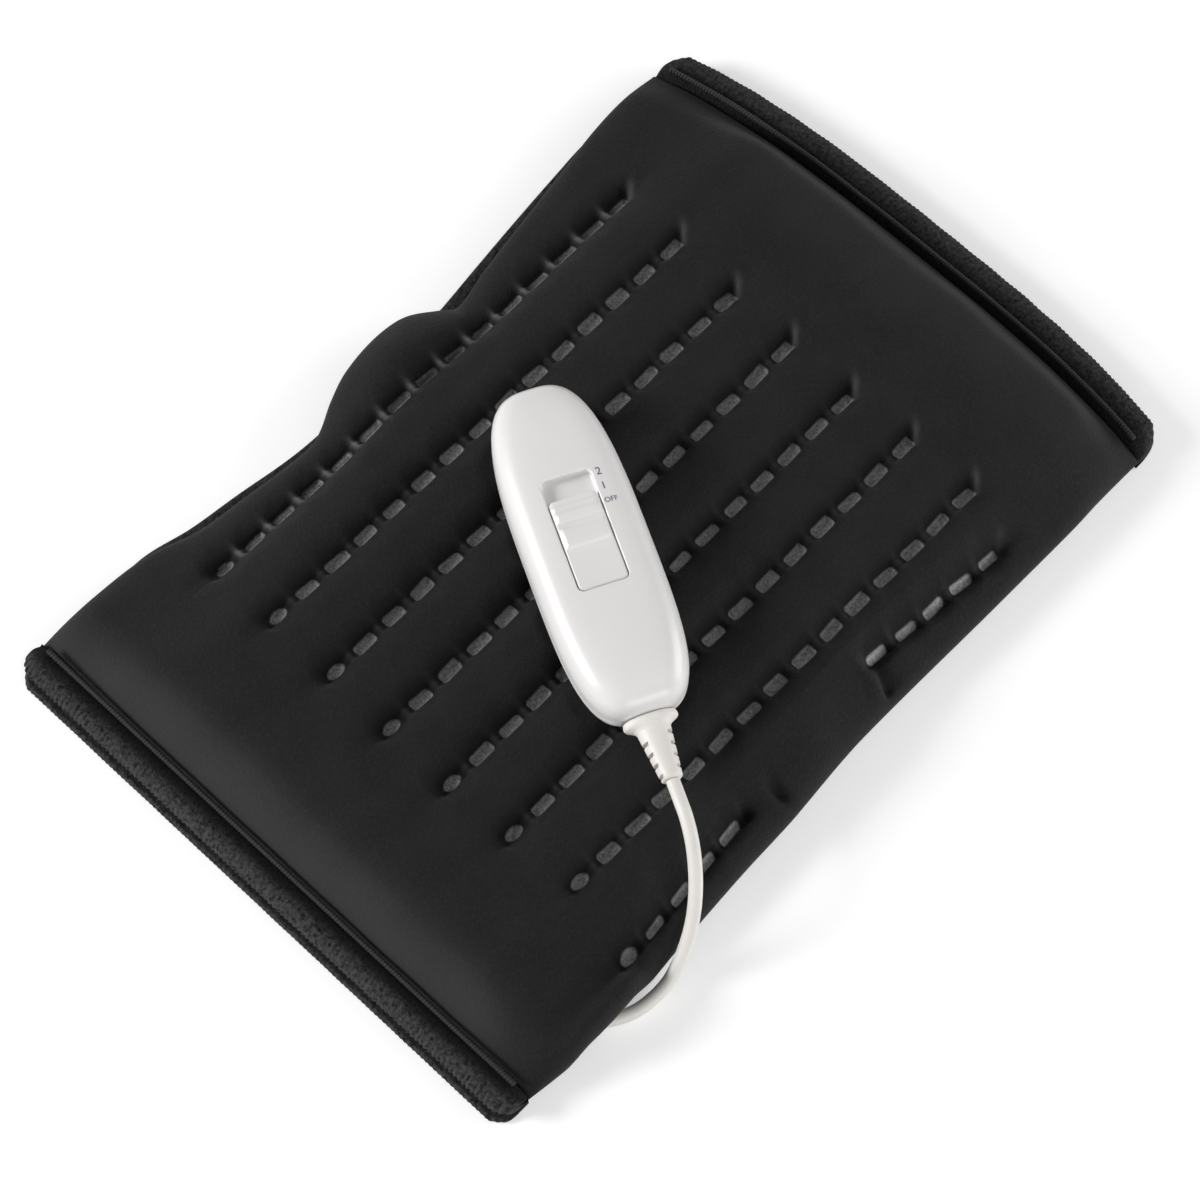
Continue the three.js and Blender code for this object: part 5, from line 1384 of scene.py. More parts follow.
@dataclass
class EndBand:
    """Rolled band of brushed cloth along one end, with the pocket's lower lip at the pocket end."""

    form: PadForm
    end: End
    steps: int = 760
    sides: int = 40
    squareness: float = 0.9
    taper: float = 5.0
    end_share: float = 0.55
    end_gap: float = 0.3
    seam_gap: float = 0.3
    crest_gap: float = 0.3
    reach: float = 10.5
    lip_reach: float = 12.2
    plain_reach: float = 12.7
    plain_tuck: float = 1.125
    lip_level: float = 2.6
    sole_level: float = -0.5
    slit: float = 0.8
    slit_opening: float = 3.0
    groove: float = 3.4
    stitch_pitch: float = 1.8
    bead_radius: float = 0.85
    bead_sides: int = 12
    bead_steps: int = 1200
    bead_turn: float = 1.1
    bead_swell: float = 0.1

    @property
    def seam(self) -> float:
        """Place of the end's seam along the pad."""
        return self.form.pocket_seam if self.end is End.POCKET else self.form.plain_seam

    def span(self, seam: float) -> Pair:
        """Places of the near and the far edge at a place along the pad."""
        return tuple(float(e(np.array(seam))) for e in (self.form.near_edge, self.form.far_edge))

    def across(self) -> Array:
        """Places across the pad from one end of the band to the other, drawn together at both ends
        by a sine.

        Returns:
            The places.
        """
        near, far = self.span(self.seam - (self.seam_gap if self.end is End.POCKET else 0.0))
        t = np.linspace(0, 1, self.steps)
        t = t - 0.9 * np.sin(TURN * t) / TURN
        return near + self.end_gap + (far - near - 2 * self.end_gap) * t

    def ends(self, y: Array) -> Array:
        """Share of the full section, which shrinks by a root over the last millimetres."""
        from_end = np.minimum(y - y[0], y[-1] - y) / self.taper
        return self.end_share + (1 - self.end_share) * np.sqrt(np.clip(from_end, 0, 1))

    def rolled(self, seam: Array, reach: Array, low: Array, high: Array, y: Array,
               ribs: float, dips: float, nap: Callable[[Array], Array]) -> Surface:
        """Superellipse section from the seam outwards, flat towards the seam, carried across the pad.

        Args:
            seam: place of the seam along the pad at each step.
            reach: how far the band reaches from it.
            low: the section's lowest level.
            high: its highest level.
            y: places across the pad.
            ribs: height of the stitched ribs round the outer half.
            dips: how far the top dips to the groove at the seam.
            nap: how far the nap is brushed up, which on the pocket's band and lip also paints shade and
                light, by the share of the reach.

        Returns:
            The closed band.
        """
        turn = round_angles(self.sides, 0.5)
        c, s = np.cos(turn)[None], np.sin(turn)[None]
        out = np.where(c > 0, np.abs(c) ** self.squareness * reach[:, None], -0.25 * np.abs(c))
        up = np.sign(s) * np.abs(s) ** self.squareness
        z = (low + high)[:, None] / 2 + up * (high - low)[:, None] / 2
        share = np.clip(out / reach[:, None], 0, 1)
        stitch = np.cos(TURN * y / self.stitch_pitch)[:, None] * smooth((share - 0.5) / 0.35)
        rng = np.random.default_rng(11 + self.end.value)
        puffs = sum(np.sin(TURN * y / length + start) for length, start in
                    zip(rng.uniform(9, 40, 6), rng.uniform(0, 6, 6)))[:, None]
        swell = 1.0 + 0.0012 * puffs * (c > 0)
        x = seam[:, None] + self.end.value * (out * swell + ribs * stitch * c)
        dip = dips * (s > 0) * np.clip(1 - 1.7 * share, 0, 1) ** 1.4
        z = np.maximum(z + 0.03 * puffs * (s > 0) * (c > 0.1) + ribs * stitch * s - dip, 0.0)
        return loft(np.stack([x, np.broadcast_to(y[:, None], x.shape), z], axis=2), nap=nap(share))

    def pocket_pieces(self, y: Array, k: Array, top: float) -> list[Piece]:
        """Makes the pocket's band and the lip under it, with the slit that opens to the far side.

        Args:
            y: places across the pad.
            k: share of the full section at each.
            top: the band's highest level.

        Returns:
            The two pieces.
        """
        f = self.form
        seam = np.full_like(y, self.seam - self.seam_gap)
        opening = smooth((y + f.half_width / 8) / f.half_width)
        low = self.lip_level + self.slit + self.slit_opening * opening
        # The band's nap is painted dark by the groove at the seam and pale out on the roll: painted
        # shade and painted light.
        band = self.rolled(seam, self.reach * k, low, low + (top - low) * k, y, 0.3, self.groove,
                           lambda share: 0.06 + 0.94 * smooth((share - 0.3) / 0.6))
        # The lip is painted dark but for its outer rim: painted shade in the slit under the band.
        lip = self.rolled(seam, self.lip_reach * k, np.full_like(y, self.sole_level),
                          np.full_like(y, self.lip_level), y, 0.1, 0.0,
                          lambda share: 0.25 + 0.75 * smooth((share - 0.86) / 0.07))
        return [put_piece("pocket_band", band, FLEECE, ("end_band_pocket",)),
                put_piece("pocket_underlip", lip, FLEECE, ("pocket_lip",))]

    def plain_piece(self, y: Array, k: Array, top: float) -> Piece:
        """Makes the plain end's band, drawn in at its corners as the pad is.

        Args:
            y: places across the pad.
            k: share of the full section at each.
            top: the band's highest level.

        Returns:
            The piece.
        """
        f = self.form
        seam = f.drawn_in(np.full_like(y, self.seam), y) + self.seam_gap
        reach = self.plain_reach * k - self.plain_tuck * np.abs(y / f.half_width) ** 3
        # The plain band's nap share rises towards its outer roll.
        band = self.rolled(seam, reach, np.full_like(y, self.sole_level), top * k, y, 0.15,
                           self.groove, lambda share: 0.12 + 0.5 * share)
        return put_piece("plain_band", band, FLEECE, ("end_band_plain",))

    def bead(self, top: float) -> Piece:
        """Makes the thin bead in the groove: a round section whose radius swells with each turn of
        thread.

        Args:
            top: the band's highest level.

        Returns:
            The piece.
        """
        near, far = self.span(self.seam)
        y = np.linspace(near + self.taper, far - self.taper, self.bead_steps)
        out, sunk = (1.0, 0.8) if self.end is End.POCKET else (1.3, 0.1)
        x = self.form.drawn_in(np.full_like(y, self.seam), y) + self.end.value * out
        level = top - sunk + 0.08 * np.sin(y / 5.3)
        turns = TURN * y[:, None] / self.bead_turn + round_angles(self.bead_sides)[None]
        surface = tube(np.stack([x, y, level], axis=1), self.bead_radius, self.bead_sides,
                       self.bead_swell * np.cos(turns))
        side = self.end.name.lower()
        return put_piece(f"{side}_bead", surface, THREAD, (f"seam_piping_{side}",))

    def build(self) -> list[Piece]:
        """Returns:
            The pieces.
        """
        y = self.across()
        k = self.ends(y)
        top = self.form.end_crest + self.crest_gap
        if self.end is End.POCKET:
            made = self.pocket_pieces(y, k, top)
        else:
            made = [self.plain_piece(y, k, top)]
        return [*made, self.bead(top)]


# The hand control

@dataclass
class HandControl:
    """Hand control: two moulded half shells, the slide switch, its marks, and the strain relief."""

    form: PadForm
    level: float = 36.8
    half: Pair = (20.0, 57.5)
    top_height: float = 13.5
    base_height: float = 9.5
    wall: float = 2.2
    gap: float = 0.3
    nose: float = 3.15
    tail: float = 3.6
    round_points: int = 240
    window_half: Pair = (8.3, 19.5)
    window_centre: float = 2.6
    window_depth: float = 3.2
    window_corner: float = 2.2
    slider_half: Pair = (8.0, 15.7)
    slider_low: float = -16.6
    grip_length: float = 17.0
    grip_height: float = 1.0
    top_profile: Shares = (
        (0, 0), (0, 0.26), (0.015, 0.43), (0.06, 0.6), (0.14, 0.755), (0.27, 0.88), (0.44, 0.95),
        (0.66, 0.985), (0.86, 1), (1, 1),
    )
    base_profile: Shares = (
        (0, 0), (0.01, 0.25), (0.05, 0.5), (0.13, 0.72), (0.26, 0.9), (0.42, 1), (0.7, 1),
    )
    grip_profile: Shares = (
        (0, 0), (0.03, 0.6), (0.09, 0.95), (0.3, 1), (0.37, 0.92), (0.43, 0.3), (0.48, 0.12),
        (0.52, 0.25), (0.57, 0.9), (0.65, 1), (0.71, 0.85), (0.745, 0.5), (0.84, 0.6), (0.87, 0.34),
        (0.96, 0.36), (1, 0),
    )
    rim_edge: Shares = ((0.35, 0.0), (0.1, 0.08))
    least_rise: float = 0.035
    side_share: float = 0.44
    inner_share: float = 0.4
    crown_rings: int = 18
    window_fillet: float = 0.55
    floor_fillet: float = 0.5
    slot_half: Pair = (2.3, 8.0)
    slot_corner: float = 0.4
    tray_floor: float = 1.8
    tray_margin: float = 2.0
    boss_sites: Shares = ((0.0, 46.5), (-11.2, -39.5), (11.2, -39.5))
    boss_radius: float = 3.6
    boss_sides: int = 40
    seat_depth: float = 5.3
    bore: Point = (3.1, 2.8, 1.6)
    slider_plate: float = 2.3
    slider_roll: float = 0.7
    slider_dish: float = 0.35
    stem_half: Pair = (2.0, 4.2)
    stem_low: float = 5.7
    relief_length: float = 21.0
    relief_tip: float = 3.5
    relief_flare: float = 4.2
    relief_sides: int = 56
    slit_width: float = 1.3
    slit_core: float = 0.68
    slits_a_side: int = 4
    neck: Point = (4.0, 0.1, 6.6)
    words: tuple[tuple[str, float, float, float], ...] = (
        ("2", 9.6, 19.0, 3.8), ("1", 9.6, 13.9, 3.6), ("OFF", 9.0, 9.2, 2.5),
    )
    ink_lift: float = 0.05

    def placed(self, surface: Surface) -> Surface:
        """Turns a surface of the control's own frame and moves it to where it lies on the pad.

        Args:
            surface: the surface.

        Returns:
            The same surface.
        """
        x, y, z = surface.points.T
        c, s = math.cos(self.form.control_turn), math.sin(self.form.control_turn)
        u, v = self.form.control_place
        surface.points = np.stack([u + c * x - s * y, v + s * x + c * y, self.level + z], axis=-1)
        return surface

    def outline(self, turn: Array, inset: Array | float) -> Array:
        """Outline moved inwards: a superellipse, squarer at the tail than at the nose.

        Args:
            turn: angles round it.
            inset: how far it is moved inwards.

        Returns:
            Its points in plan, one a row.
        """
        c, s = np.cos(turn), np.sin(turn)
        power = 2 / np.where(s > 0, self.nose, self.tail)
        x = np.sign(c) * np.abs(c) ** power * (self.half[0] - inset)
        y = np.sign(s) * np.abs(s) ** power * (self.half[1] - inset)
        return np.stack([x, y], axis=-1)

    def turns(self) -> Array:
        """Angles at which the outline's points are evenly spaced along it.

        Returns:
            The angles.
        """
        dense = np.linspace(0, TURN, 4001)
        run = path_runs(self.outline(dense, 0.0))
        return np.interp(run[-1] * (np.arange(self.round_points) + 0.5) / self.round_points, run, dense)

    def inset_of(self, x: Array, y: Array) -> Array:
        """How far inside the outline points are: the inset whose superellipse passes through each.

        Args:
            x: places across the control.
            y: places along it.

        Returns:
            The insets.
        """
        power = np.where(y > 0, self.nose, self.tail)
        half_u, half_v = self.half
        return by_halving(lambda inset: (np.abs(x) / (half_u - inset)) ** power
                          + (np.abs(y) / (half_v - inset)) ** power < 1,
                          np.zeros_like(x), np.full_like(x, half_u - 1e-4))

    def curve(self, profile: Shares) -> tuple[Array, Array]:
        """A profile's insets and rises as a fine curve through its points."""
        line = through(np.array(profile, float), 10)
        return np.maximum.accumulate(np.clip(line[:, 0], 0, 1)), np.clip(line[:, 1], 0, 1)

    def top_rise(self, share: Array) -> Array:
        """Rise of the top's profile at shares of the way in."""
        insets, rises = self.curve(self.top_profile)
        return np.interp(share, insets + 1e-6 * np.arange(len(insets)), rises)

    def top_level(self, x: Array, y: Array) -> Array:
        """Height of the top's outer face above the parting line."""
        rim = self.gap / 2
        return self.top_rise(self.inset_of(x, y) / self.half[0]) * (self.top_height - rim) + rim

    def shell_rings(self, turn: Array, profile: Shares, height: float, wall: float = 0.0,
                    picked: slice = slice(None), widest: float = 1.01,
                    least: float | None = None) -> list[Array]:
        """Rings of one face of a half shell: the outline is moved in by the profile's insets and
        raised by its rises.

        Args:
            turn: angles of the outline's points.
            profile: the profile.
            height: height of the face's crown, below 0 for the base.
            wall: how far inside the outer face it lies.
            picked: the samples of the profile's curve that are used.
            widest: the share of the way in that the rings stop short of.
            least: the rise that they have to pass.

        Returns:
            The rings.
        """
        least = self.least_rise if least is None else least
        half, rim = self.half[0] - wall, math.copysign(self.gap / 2, height)
        return [level_ring(self.outline(turn, wall + inset * half), rim + rise * (height - rim))
                for inset, rise in list(zip(*self.curve(profile)))[picked]
                if inset < widest and rise > least]

    def ray_loop(self, ring: Array, half: Pair, radius: float) -> Array:
        """Rounded rectangle round the window's middle, met by the rays from there to a ring's points.

        Args:
            ring: the ring's points in plan.
            half: half the rectangle's sides.
            radius: its corner's radius.

        Returns:
            The points where the rays meet it.
        """
        centre = np.array([0.0, self.window_centre])
        away = ring - centre
        away = away / np.linalg.norm(away, axis=1, keepdims=True)

        def inside(reach: Array) -> Array:
            """Tells which of the points at a reach along the rays lie inside."""
            u, v = (centre + away * reach[:, None]).T
            return rounded_box_distance(u, v - self.window_centre, *half, radius) <= 0

        return centre + away * by_halving(inside, np.zeros(len(ring)), np.full(len(ring), 90.0))[:, None]

    def window_loop(self, ring: Array, out: float) -> Array:
        """The window's outline moved outwards, met by the rays to a ring's points."""
        w, l = self.window_half
        return self.ray_loop(ring, (w + out, l + out), self.window_corner + out)

    def window_rings(self, start: Array) -> list[Array]:
        """Rings down into the window: over a rounded edge, down the wall, round the floor's edge to
        the slot, and through it to the underside of the tray.

        Args:
            start: the ring on the crown that they start from.

        Returns:
            The rings.
        """
        fillet, corner = self.window_fillet, self.floor_fillet
        brim = self.top_level(*self.window_loop(start, fillet).T)
        rings = [level_ring(self.window_loop(start, fillet * (1 - math.sin(a))),
                            brim - fillet * (1 - math.cos(a)))
                 for a in np.linspace(0, math.pi / 2, 6)[1:]]
        floor = self.top_height - self.window_depth
        rings.append(level_ring(self.window_loop(start, 0.0), floor + corner))
        for a in np.linspace(0, math.pi / 2, 5)[1:]:
            w, l = (side - corner * (1 - math.cos(a)) for side in self.window_half)
            loop = self.ray_loop(start, (w, l), self.window_corner)
            rings.append(level_ring(loop, floor + corner * (1 - math.sin(a))))
        slot = self.ray_loop(start, self.slot_half, self.slot_corner)
        rings += [level_ring(loop + (slot - loop) * t, floor) for t in np.linspace(0, 1, 6)[1:]]
        tray = self.window_loop(start, self.tray_margin)
        return rings + [level_ring(loop, floor - self.tray_floor) for loop in (slot, tray)]

    def top_shell(self) -> Surface:
        """Top shell as one closed skin: up the side and over the crowned top, down into the window,
        and back along the inner face to the rim.

        Returns:
            The skin, in the control's own frame.
        """
        turn = self.turns()
        rim, inner_height = self.gap / 2, self.top_height - self.wall
        rings = [level_ring(self.outline(turn, inset), rim + rise) for inset, rise in self.rim_edge]
        rings += self.shell_rings(turn, self.top_profile, self.top_height, widest=self.side_share)
        start = self.outline(turn, self.side_share * self.half[0])
        edge = self.window_loop(start, self.window_fillet)
        for t in np.linspace(0, 1, self.crown_rings):
            loop = start + (edge - start) * t
            rings.append(level_ring(loop, self.top_level(*loop.T)))
        rings += self.window_rings(start)
        tray = self.window_loop(start, self.tray_margin)
        share = (self.inset_of(*tray.T) - self.wall) / (self.half[0] - self.wall)
        rings.append(level_ring(tray, self.top_rise(share) * (inner_height - rim) + rim))
        rings += self.shell_rings(turn, self.top_profile, inner_height, self.wall,
                                  slice(None, None, -4), self.inner_share, 0.02)
        rings.append(level_ring(self.outline(turn, self.wall), rim))
        return loft(np.stack(rings), ring_shaped=True)

    def base_shell(self) -> Piece:
        """Makes the base shell: rings up the inner face, over the rim and down the outer face, with
        its three screw bosses added and bored.

        Returns:
            The piece.
        """
        turn = self.turns()
        half, rim, floor = self.half[0], -self.gap / 2, -self.base_height
        rings = self.shell_rings(turn, self.base_profile, floor + self.wall, self.wall,
                                 slice(None, None, -3), least=-1.0)
        rings += [level_ring(self.outline(turn, inset), rim - drop) for inset, drop in self.rim_edge]
        rings += self.shell_rings(turn, self.base_profile, floor)
        piece = put_piece("control_base", self.placed(loft(np.stack(rings))), WHITE_ABS,
                          ("handset_base_shell",), crease=50)
        mouth, well, hole = self.bore
        seat = floor + self.seat_depth - 0.3
        bore = np.array([(mouth, floor - 1.0), (mouth, floor), (well, floor + 0.3), (well, seat),
                         (hole, seat), (hole, 2.0)])
        circle = self.boss_radius * np.column_stack([np.cos(turn), np.sin(turn)])
        bosses = []
        for site in self.boss_sites:
            inset = self.inset_of(*(circle + site).T)
            foot = rim + np.interp(inset / half, *self.curve(self.base_profile)).min() * (floor - rim)
            post = np.array([(self.boss_radius, foot + 0.8), (self.boss_radius, rim)])
            bosses.append(lathe(post, site, self.boss_sides))
        bores = [lathe(bore, site, self.boss_sides) for site in self.boss_sites]
        for cuts, operation in ((bosses, "UNION"), (bores, "DIFFERENCE")):
            combine(piece, self.placed(joined(cuts)), operation)
        piece.data.set_sharp_from_angle(angle=math.radians(40))
        return piece

    def knob(self) -> Surface:
        """Slider: a rectangle's grid mapped onto a rounded rectangle, its height the plate plus the
        ridges and the finger groove, rounded over at the rim, with the stem below.

        Returns:
            The two surfaces as one, where they lie.
        """
        hu, hv = self.slider_half
        corner, rim = self.window_corner - self.gap, self.slider_roll
        s, t = np.linspace(-1, 1, 61), np.linspace(-1, 1, 221)
        v, u = np.meshgrid(hv * np.sign(t) * (1 - (1 - np.abs(t)) ** 1.15),
                           hu * np.sign(s) * (1 - (1 - np.abs(s)) ** 1.4), indexing="ij")
        du, dv = np.abs(u) - (hu - corner), np.abs(v) - (hv - corner)
        both = (du > 0) & (dv > 0)
        scale = np.where(both, np.maximum(du, dv) / np.maximum(np.hypot(du, dv), TINY), 1.0)
        round_u = np.where(both, np.sign(u) * (hu - corner + du * scale), u)
        round_v = np.where(both, np.sign(v) * (hv - corner + dv * scale), v)
        along = (round_v + hv - (2 * hv - self.grip_length)) / self.grip_length
        line = through(np.array(self.grip_profile), 8)
        grip = np.interp(along, line[:, 0] + 1e-7 * np.arange(len(line)), line[:, 1])
        dish = self.slider_dish * bell((along - 0.48) / 0.14) * bell(round_u / 6.0)
        low = self.top_height - self.window_depth + self.gap
        ends = smooth((hu - 0.3 - np.abs(round_u)) / 1.4)
        z = low + self.slider_plate + self.grip_height * grip * ends - dish * ends
        roll = np.clip(1 - np.minimum(hu - np.abs(u), hv - np.abs(v)) / rim, 0, 1)
        z = z - rim * (1 - np.sqrt(1 - roll**2)) * 0.9
        z = np.pad(z, 1, constant_values=low)
        round_u, round_v = np.pad(round_u, 1, "edge"), np.pad(round_v, 1, "edge")
        n, m = z.shape
        points = np.stack([round_u, round_v + self.slider_low + hv, z], axis=2).reshape(-1, 3)
        index = np.arange(n * m).reshape(n, m)
        loop = np.concatenate([index[0, :-1], index[:-1, -1], index[-1, :0:-1], index[:0:-1, 0]])
        plate = Surface(points, grid_quads(n, m), [loop.tolist()]).outward()
        corners = np.array([(-1, -1), (1, -1), (1, 1), (-1, 1)]) * self.stem_half
        corners = corners + (0.0, self.slider_low + hv)
        stem = loft(np.stack([level_ring(corners, height) for height in (self.stem_low, low + 0.3)]))
        return self.placed(joined([plate, stem]))

    def relief(self) -> Surface:
        """Strain relief: oval rings from the collar to the tip, each side cut back to the core where
        a slit is, with the neck that enters the housing.

        Returns:
            The two surfaces as one, where they lie.
        """
        start, length, tip = -self.half[1] - self.gap, self.relief_length, self.relief_tip
        flare, core = self.relief_flare, self.slit_core
        knots = np.array([0.0, 0.9, 1.6, 2.1, 3.2, flare, length - 0.8, length - 0.3, length])
        widths = np.array([8.5, 8.8, 8.75, 8.4, 6.2, 5.45, tip + 0.05, tip - 0.15, tip - 0.5])
        heights = np.array([5.0, 5.3, 5.25, 5.1, 4.75, 4.55, tip + 0.05, tip - 0.15, tip - 0.5])
        room = (length - flare) / (self.slits_a_side + 0.5)
        cuts = [(side, flare + room * (k + (0.5 if side > 0 else 1.0)))
                for k in range(self.slits_a_side) for side in (-1, 1)]
        edges = [at + (edge + shift) for _, at in cuts
                 for edge in (0, self.slit_width) for shift in (-1e-3, 1e-3)]
        along = np.unique(np.concatenate([np.linspace(0, length, 150), np.array(edges)]))
        along = along[along <= length]
        width, height = (np.interp(along, knots, table)[:, None] for table in (widths, heights))
        turn = round_angles(self.relief_sides, 0.5)
        x, z = width * np.cos(turn), height * np.sin(turn)
        for side, at in cuts:
            inside = ((along > at) & (along < at + self.slit_width))[:, None]
            x = np.where(inside & (x * side > width * core), side * width * core, x)
        rings = np.stack([x, np.broadcast_to((start - along)[:, None], x.shape), z], axis=2)
        radius, *ends = self.neck
        neck = np.stack([np.column_stack([radius * np.cos(turn), np.full(len(turn), start + end),
                                          radius * np.sin(turn)]) for end in ends])
        return self.placed(joined([loft(rings), loft(neck)]))

    def marks(self) -> Piece:
        """Makes the setting marks beside the window: plain figures and OFF, laid on the top's curve.

        Returns:
            The piece.
        """
        words = []
        for word, u, v, size in self.words:
            text = bpy.data.curves.new(f"mark_{word}", "FONT")
            text.body, text.size, text.resolution_u = word, size, 3
            holder = new_object(f"mark_{word}", text)
            flat = finished_mesh(holder)
            bpy.data.objects.remove(holder)
            points = np.zeros(len(flat.vertices) * 3)
            flat.vertices.foreach_get("co", points)
            points = points.reshape(-1, 3) + (u, v, 0.0)
            points[:, 2] = self.top_level(points[:, 0], points[:, 1]) + self.ink_lift
            faces = [list(face.vertices) for face in flat.polygons]
            words.append(Surface(points, np.zeros((0, 4), int), faces))
            bpy.data.meshes.remove(flat)
        mesh = self.placed(joined(words)).mesh("control_marks")
        mesh.materials.append(PRINT_INK.material())
        piece = new_object("control_marks", mesh)
        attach(piece, "pad")
        return piece

    def build(self) -> list[Piece]:
        """Makes the shells, the slider, the strain relief and the marks.

        Returns:
            The pieces.
        """
        top = put_piece("control_top", self.placed(self.top_shell()), WHITE_ABS,
                        ("handset_top_shell",), crease=60)
        knob = put_piece("control_slider", self.knob(), WHITE_ABS, ("slider_knob",),
                         body="thumb_slide", crease=60, merge=True)
        relief = put_piece("control_relief", self.relief(), WHITE_PVC, ("strain_relief",), crease=50)
        return [top, self.base_shell(), knob, relief, self.marks()]


# The lead

@dataclass
class Lead:
    """Lead from the strain relief over the near edge, wound under the pad, and on to the gland."""

    control: HandControl
    diameter: float = 4.4
    pitch: float = 4.9
    turns: float = 5.0
    outer: float = 31.625
    centre: Pair = (-6.5, -13.375)
    low: float = 3.1
    route: tuple[Point, ...] = (
        (-56.2, -82.8, 36.8), (-58.4, -87.0, 36.5), (-62.1, -92.9, 34.8), (-66.2, -98.2, 31.4),
        (-70.6, -102.8, 26.6), (-75.4, -106.6, 20.6), (-80.6, -109.4, 14.6), (-86.4, -111.4, 9.4),
        (-92.6, -112.6, 5.6), (-99.2, -112.4, 3.4), (-106.0, -111.0, 2.5), (-112.6, -107.6, 2.4),
        (-118.0, -102.8, 2.4), (-120.8, -96.4, 2.4), (-120.2, -89.6, 2.4), (-116.4, -83.8, 2.4),
        (-110.0, -79.6, 2.4), (-101.6, -76.4, 2.4), (-69.9, -68.4, 2.4), (-38.2, -50.2, 2.75),
        (-20.0, -45.0, 3.1), (-11.2, -45.0, 3.1),
    )
    tail: tuple[Point, ...] = (
        (-1.8, -45.0, 8.0), (2.6, -45.0, 8.0), (15.5, -45.0, 5.4), (26.5, -45.0, 2.5),
        (46.3, -45.0, 6.0), (54.8, -45.0, 7.6), (59.2, -45.0, 7.6),
    )
    exit_reach: float = 21.6
    steps: tuple[int, int, int] = (14, 4, 12)
    sides: int = 28

    def coil(self) -> Array:
        """Wound part: the radius shrinks evenly to the middle turn and grows again in the layer
        above, and the height climbs by an ease over the middle half turn.

        Returns:
            The points that the part follows, one a row.
        """
        turn = np.linspace(0, TURN * self.turns, 121)
        middle = turn[-1] / 2
        radius = self.outer - self.pitch * (middle - np.abs(turn - middle)) / TURN
        climb = smooth((turn - middle + math.pi / 2) / math.pi)
        angle = turn - math.pi / 2
        u, v = self.centre
        return np.stack([u + radius * np.cos(angle), v + radius * np.sin(angle),
                         self.low + self.pitch * climb], axis=1)

    def build(self) -> Piece:
        """Returns:
            The piece.
        """
        control = self.control
        start = np.array([[0.0, -control.half[1] - self.exit_reach, 0.0]])
        exit_point = control.placed(Surface(start, np.zeros((0, 4), int))).points[0]
        parts = (np.vstack([exit_point, np.array(self.route)]), self.coil(), np.array(self.tail))
        free, wound, tail = (through(part, steps) for part, steps in zip(parts, self.steps))
        path = np.vstack([free[:-1], wound, tail[1:]])
        piece = put_piece("control_lead", tube(path, self.diameter / 2, self.sides), WHITE_PVC,
                          ("handset_cord", "handset_cord_coil", "handset_cord_tail"))
        return piece


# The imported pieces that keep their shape

@dataclass
class InnerWorks:
    """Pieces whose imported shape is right: what is inside, under the pad, and the small hardware."""

    finishes: dict[str, Finish] = field(default_factory=lambda: {
        "heater_carrier": FELT, "heating_wire": SILICONE_RED, "thermal_fuse": CERAMIC,
        "heater_lead_fuse": SILICONE_RED, "heater_lead_thermostat": SILICONE_RED,
        "thermostat": BLACK_ABS, "junction_box": BLACK_ABS, "clamp_plate": BLACK_ABS,
        "supply_socket": BLACK_ABS, "terminal_block": CERAMIC, "pad_gland": BLACK_RUBBER,
        "cord_tie": BLACK_TAPE, "slider_carriage": BLACK_ABS, "switch_base": BLACK_ABS,
        "circuit_board": BOARD,
        **{f"junction_screw_{number}": STEEL for number in (1, 2)},
        **{f"handset_screw_{number}": STEEL for number in (1, 2, 3)},
        **{f"contact_{part}": BRASS for part in ("bridge", "common", "step_one", "step_two")},
        **{f"conductor_{letter}": SILICONE_RED for letter in "abc"},
        **{f"{part}_{side}": finish for side in ("pocket", "plain") for part, finish in (
            ("pod_base", NYLON), ("pod_cover", NYLON), ("massage_motor", STEEL),
            ("motor_shaft", STEEL), ("eccentric_weight", TUNGSTEN), ("motor_lead", SILICONE_RED))},
    })

    def dress(self) -> None:
        """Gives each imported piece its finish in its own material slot."""
        for name, finish in self.finishes.items():
            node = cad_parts[name]
            node.data.materials.clear()
            node.data.materials.append(finish.material())


# The studio

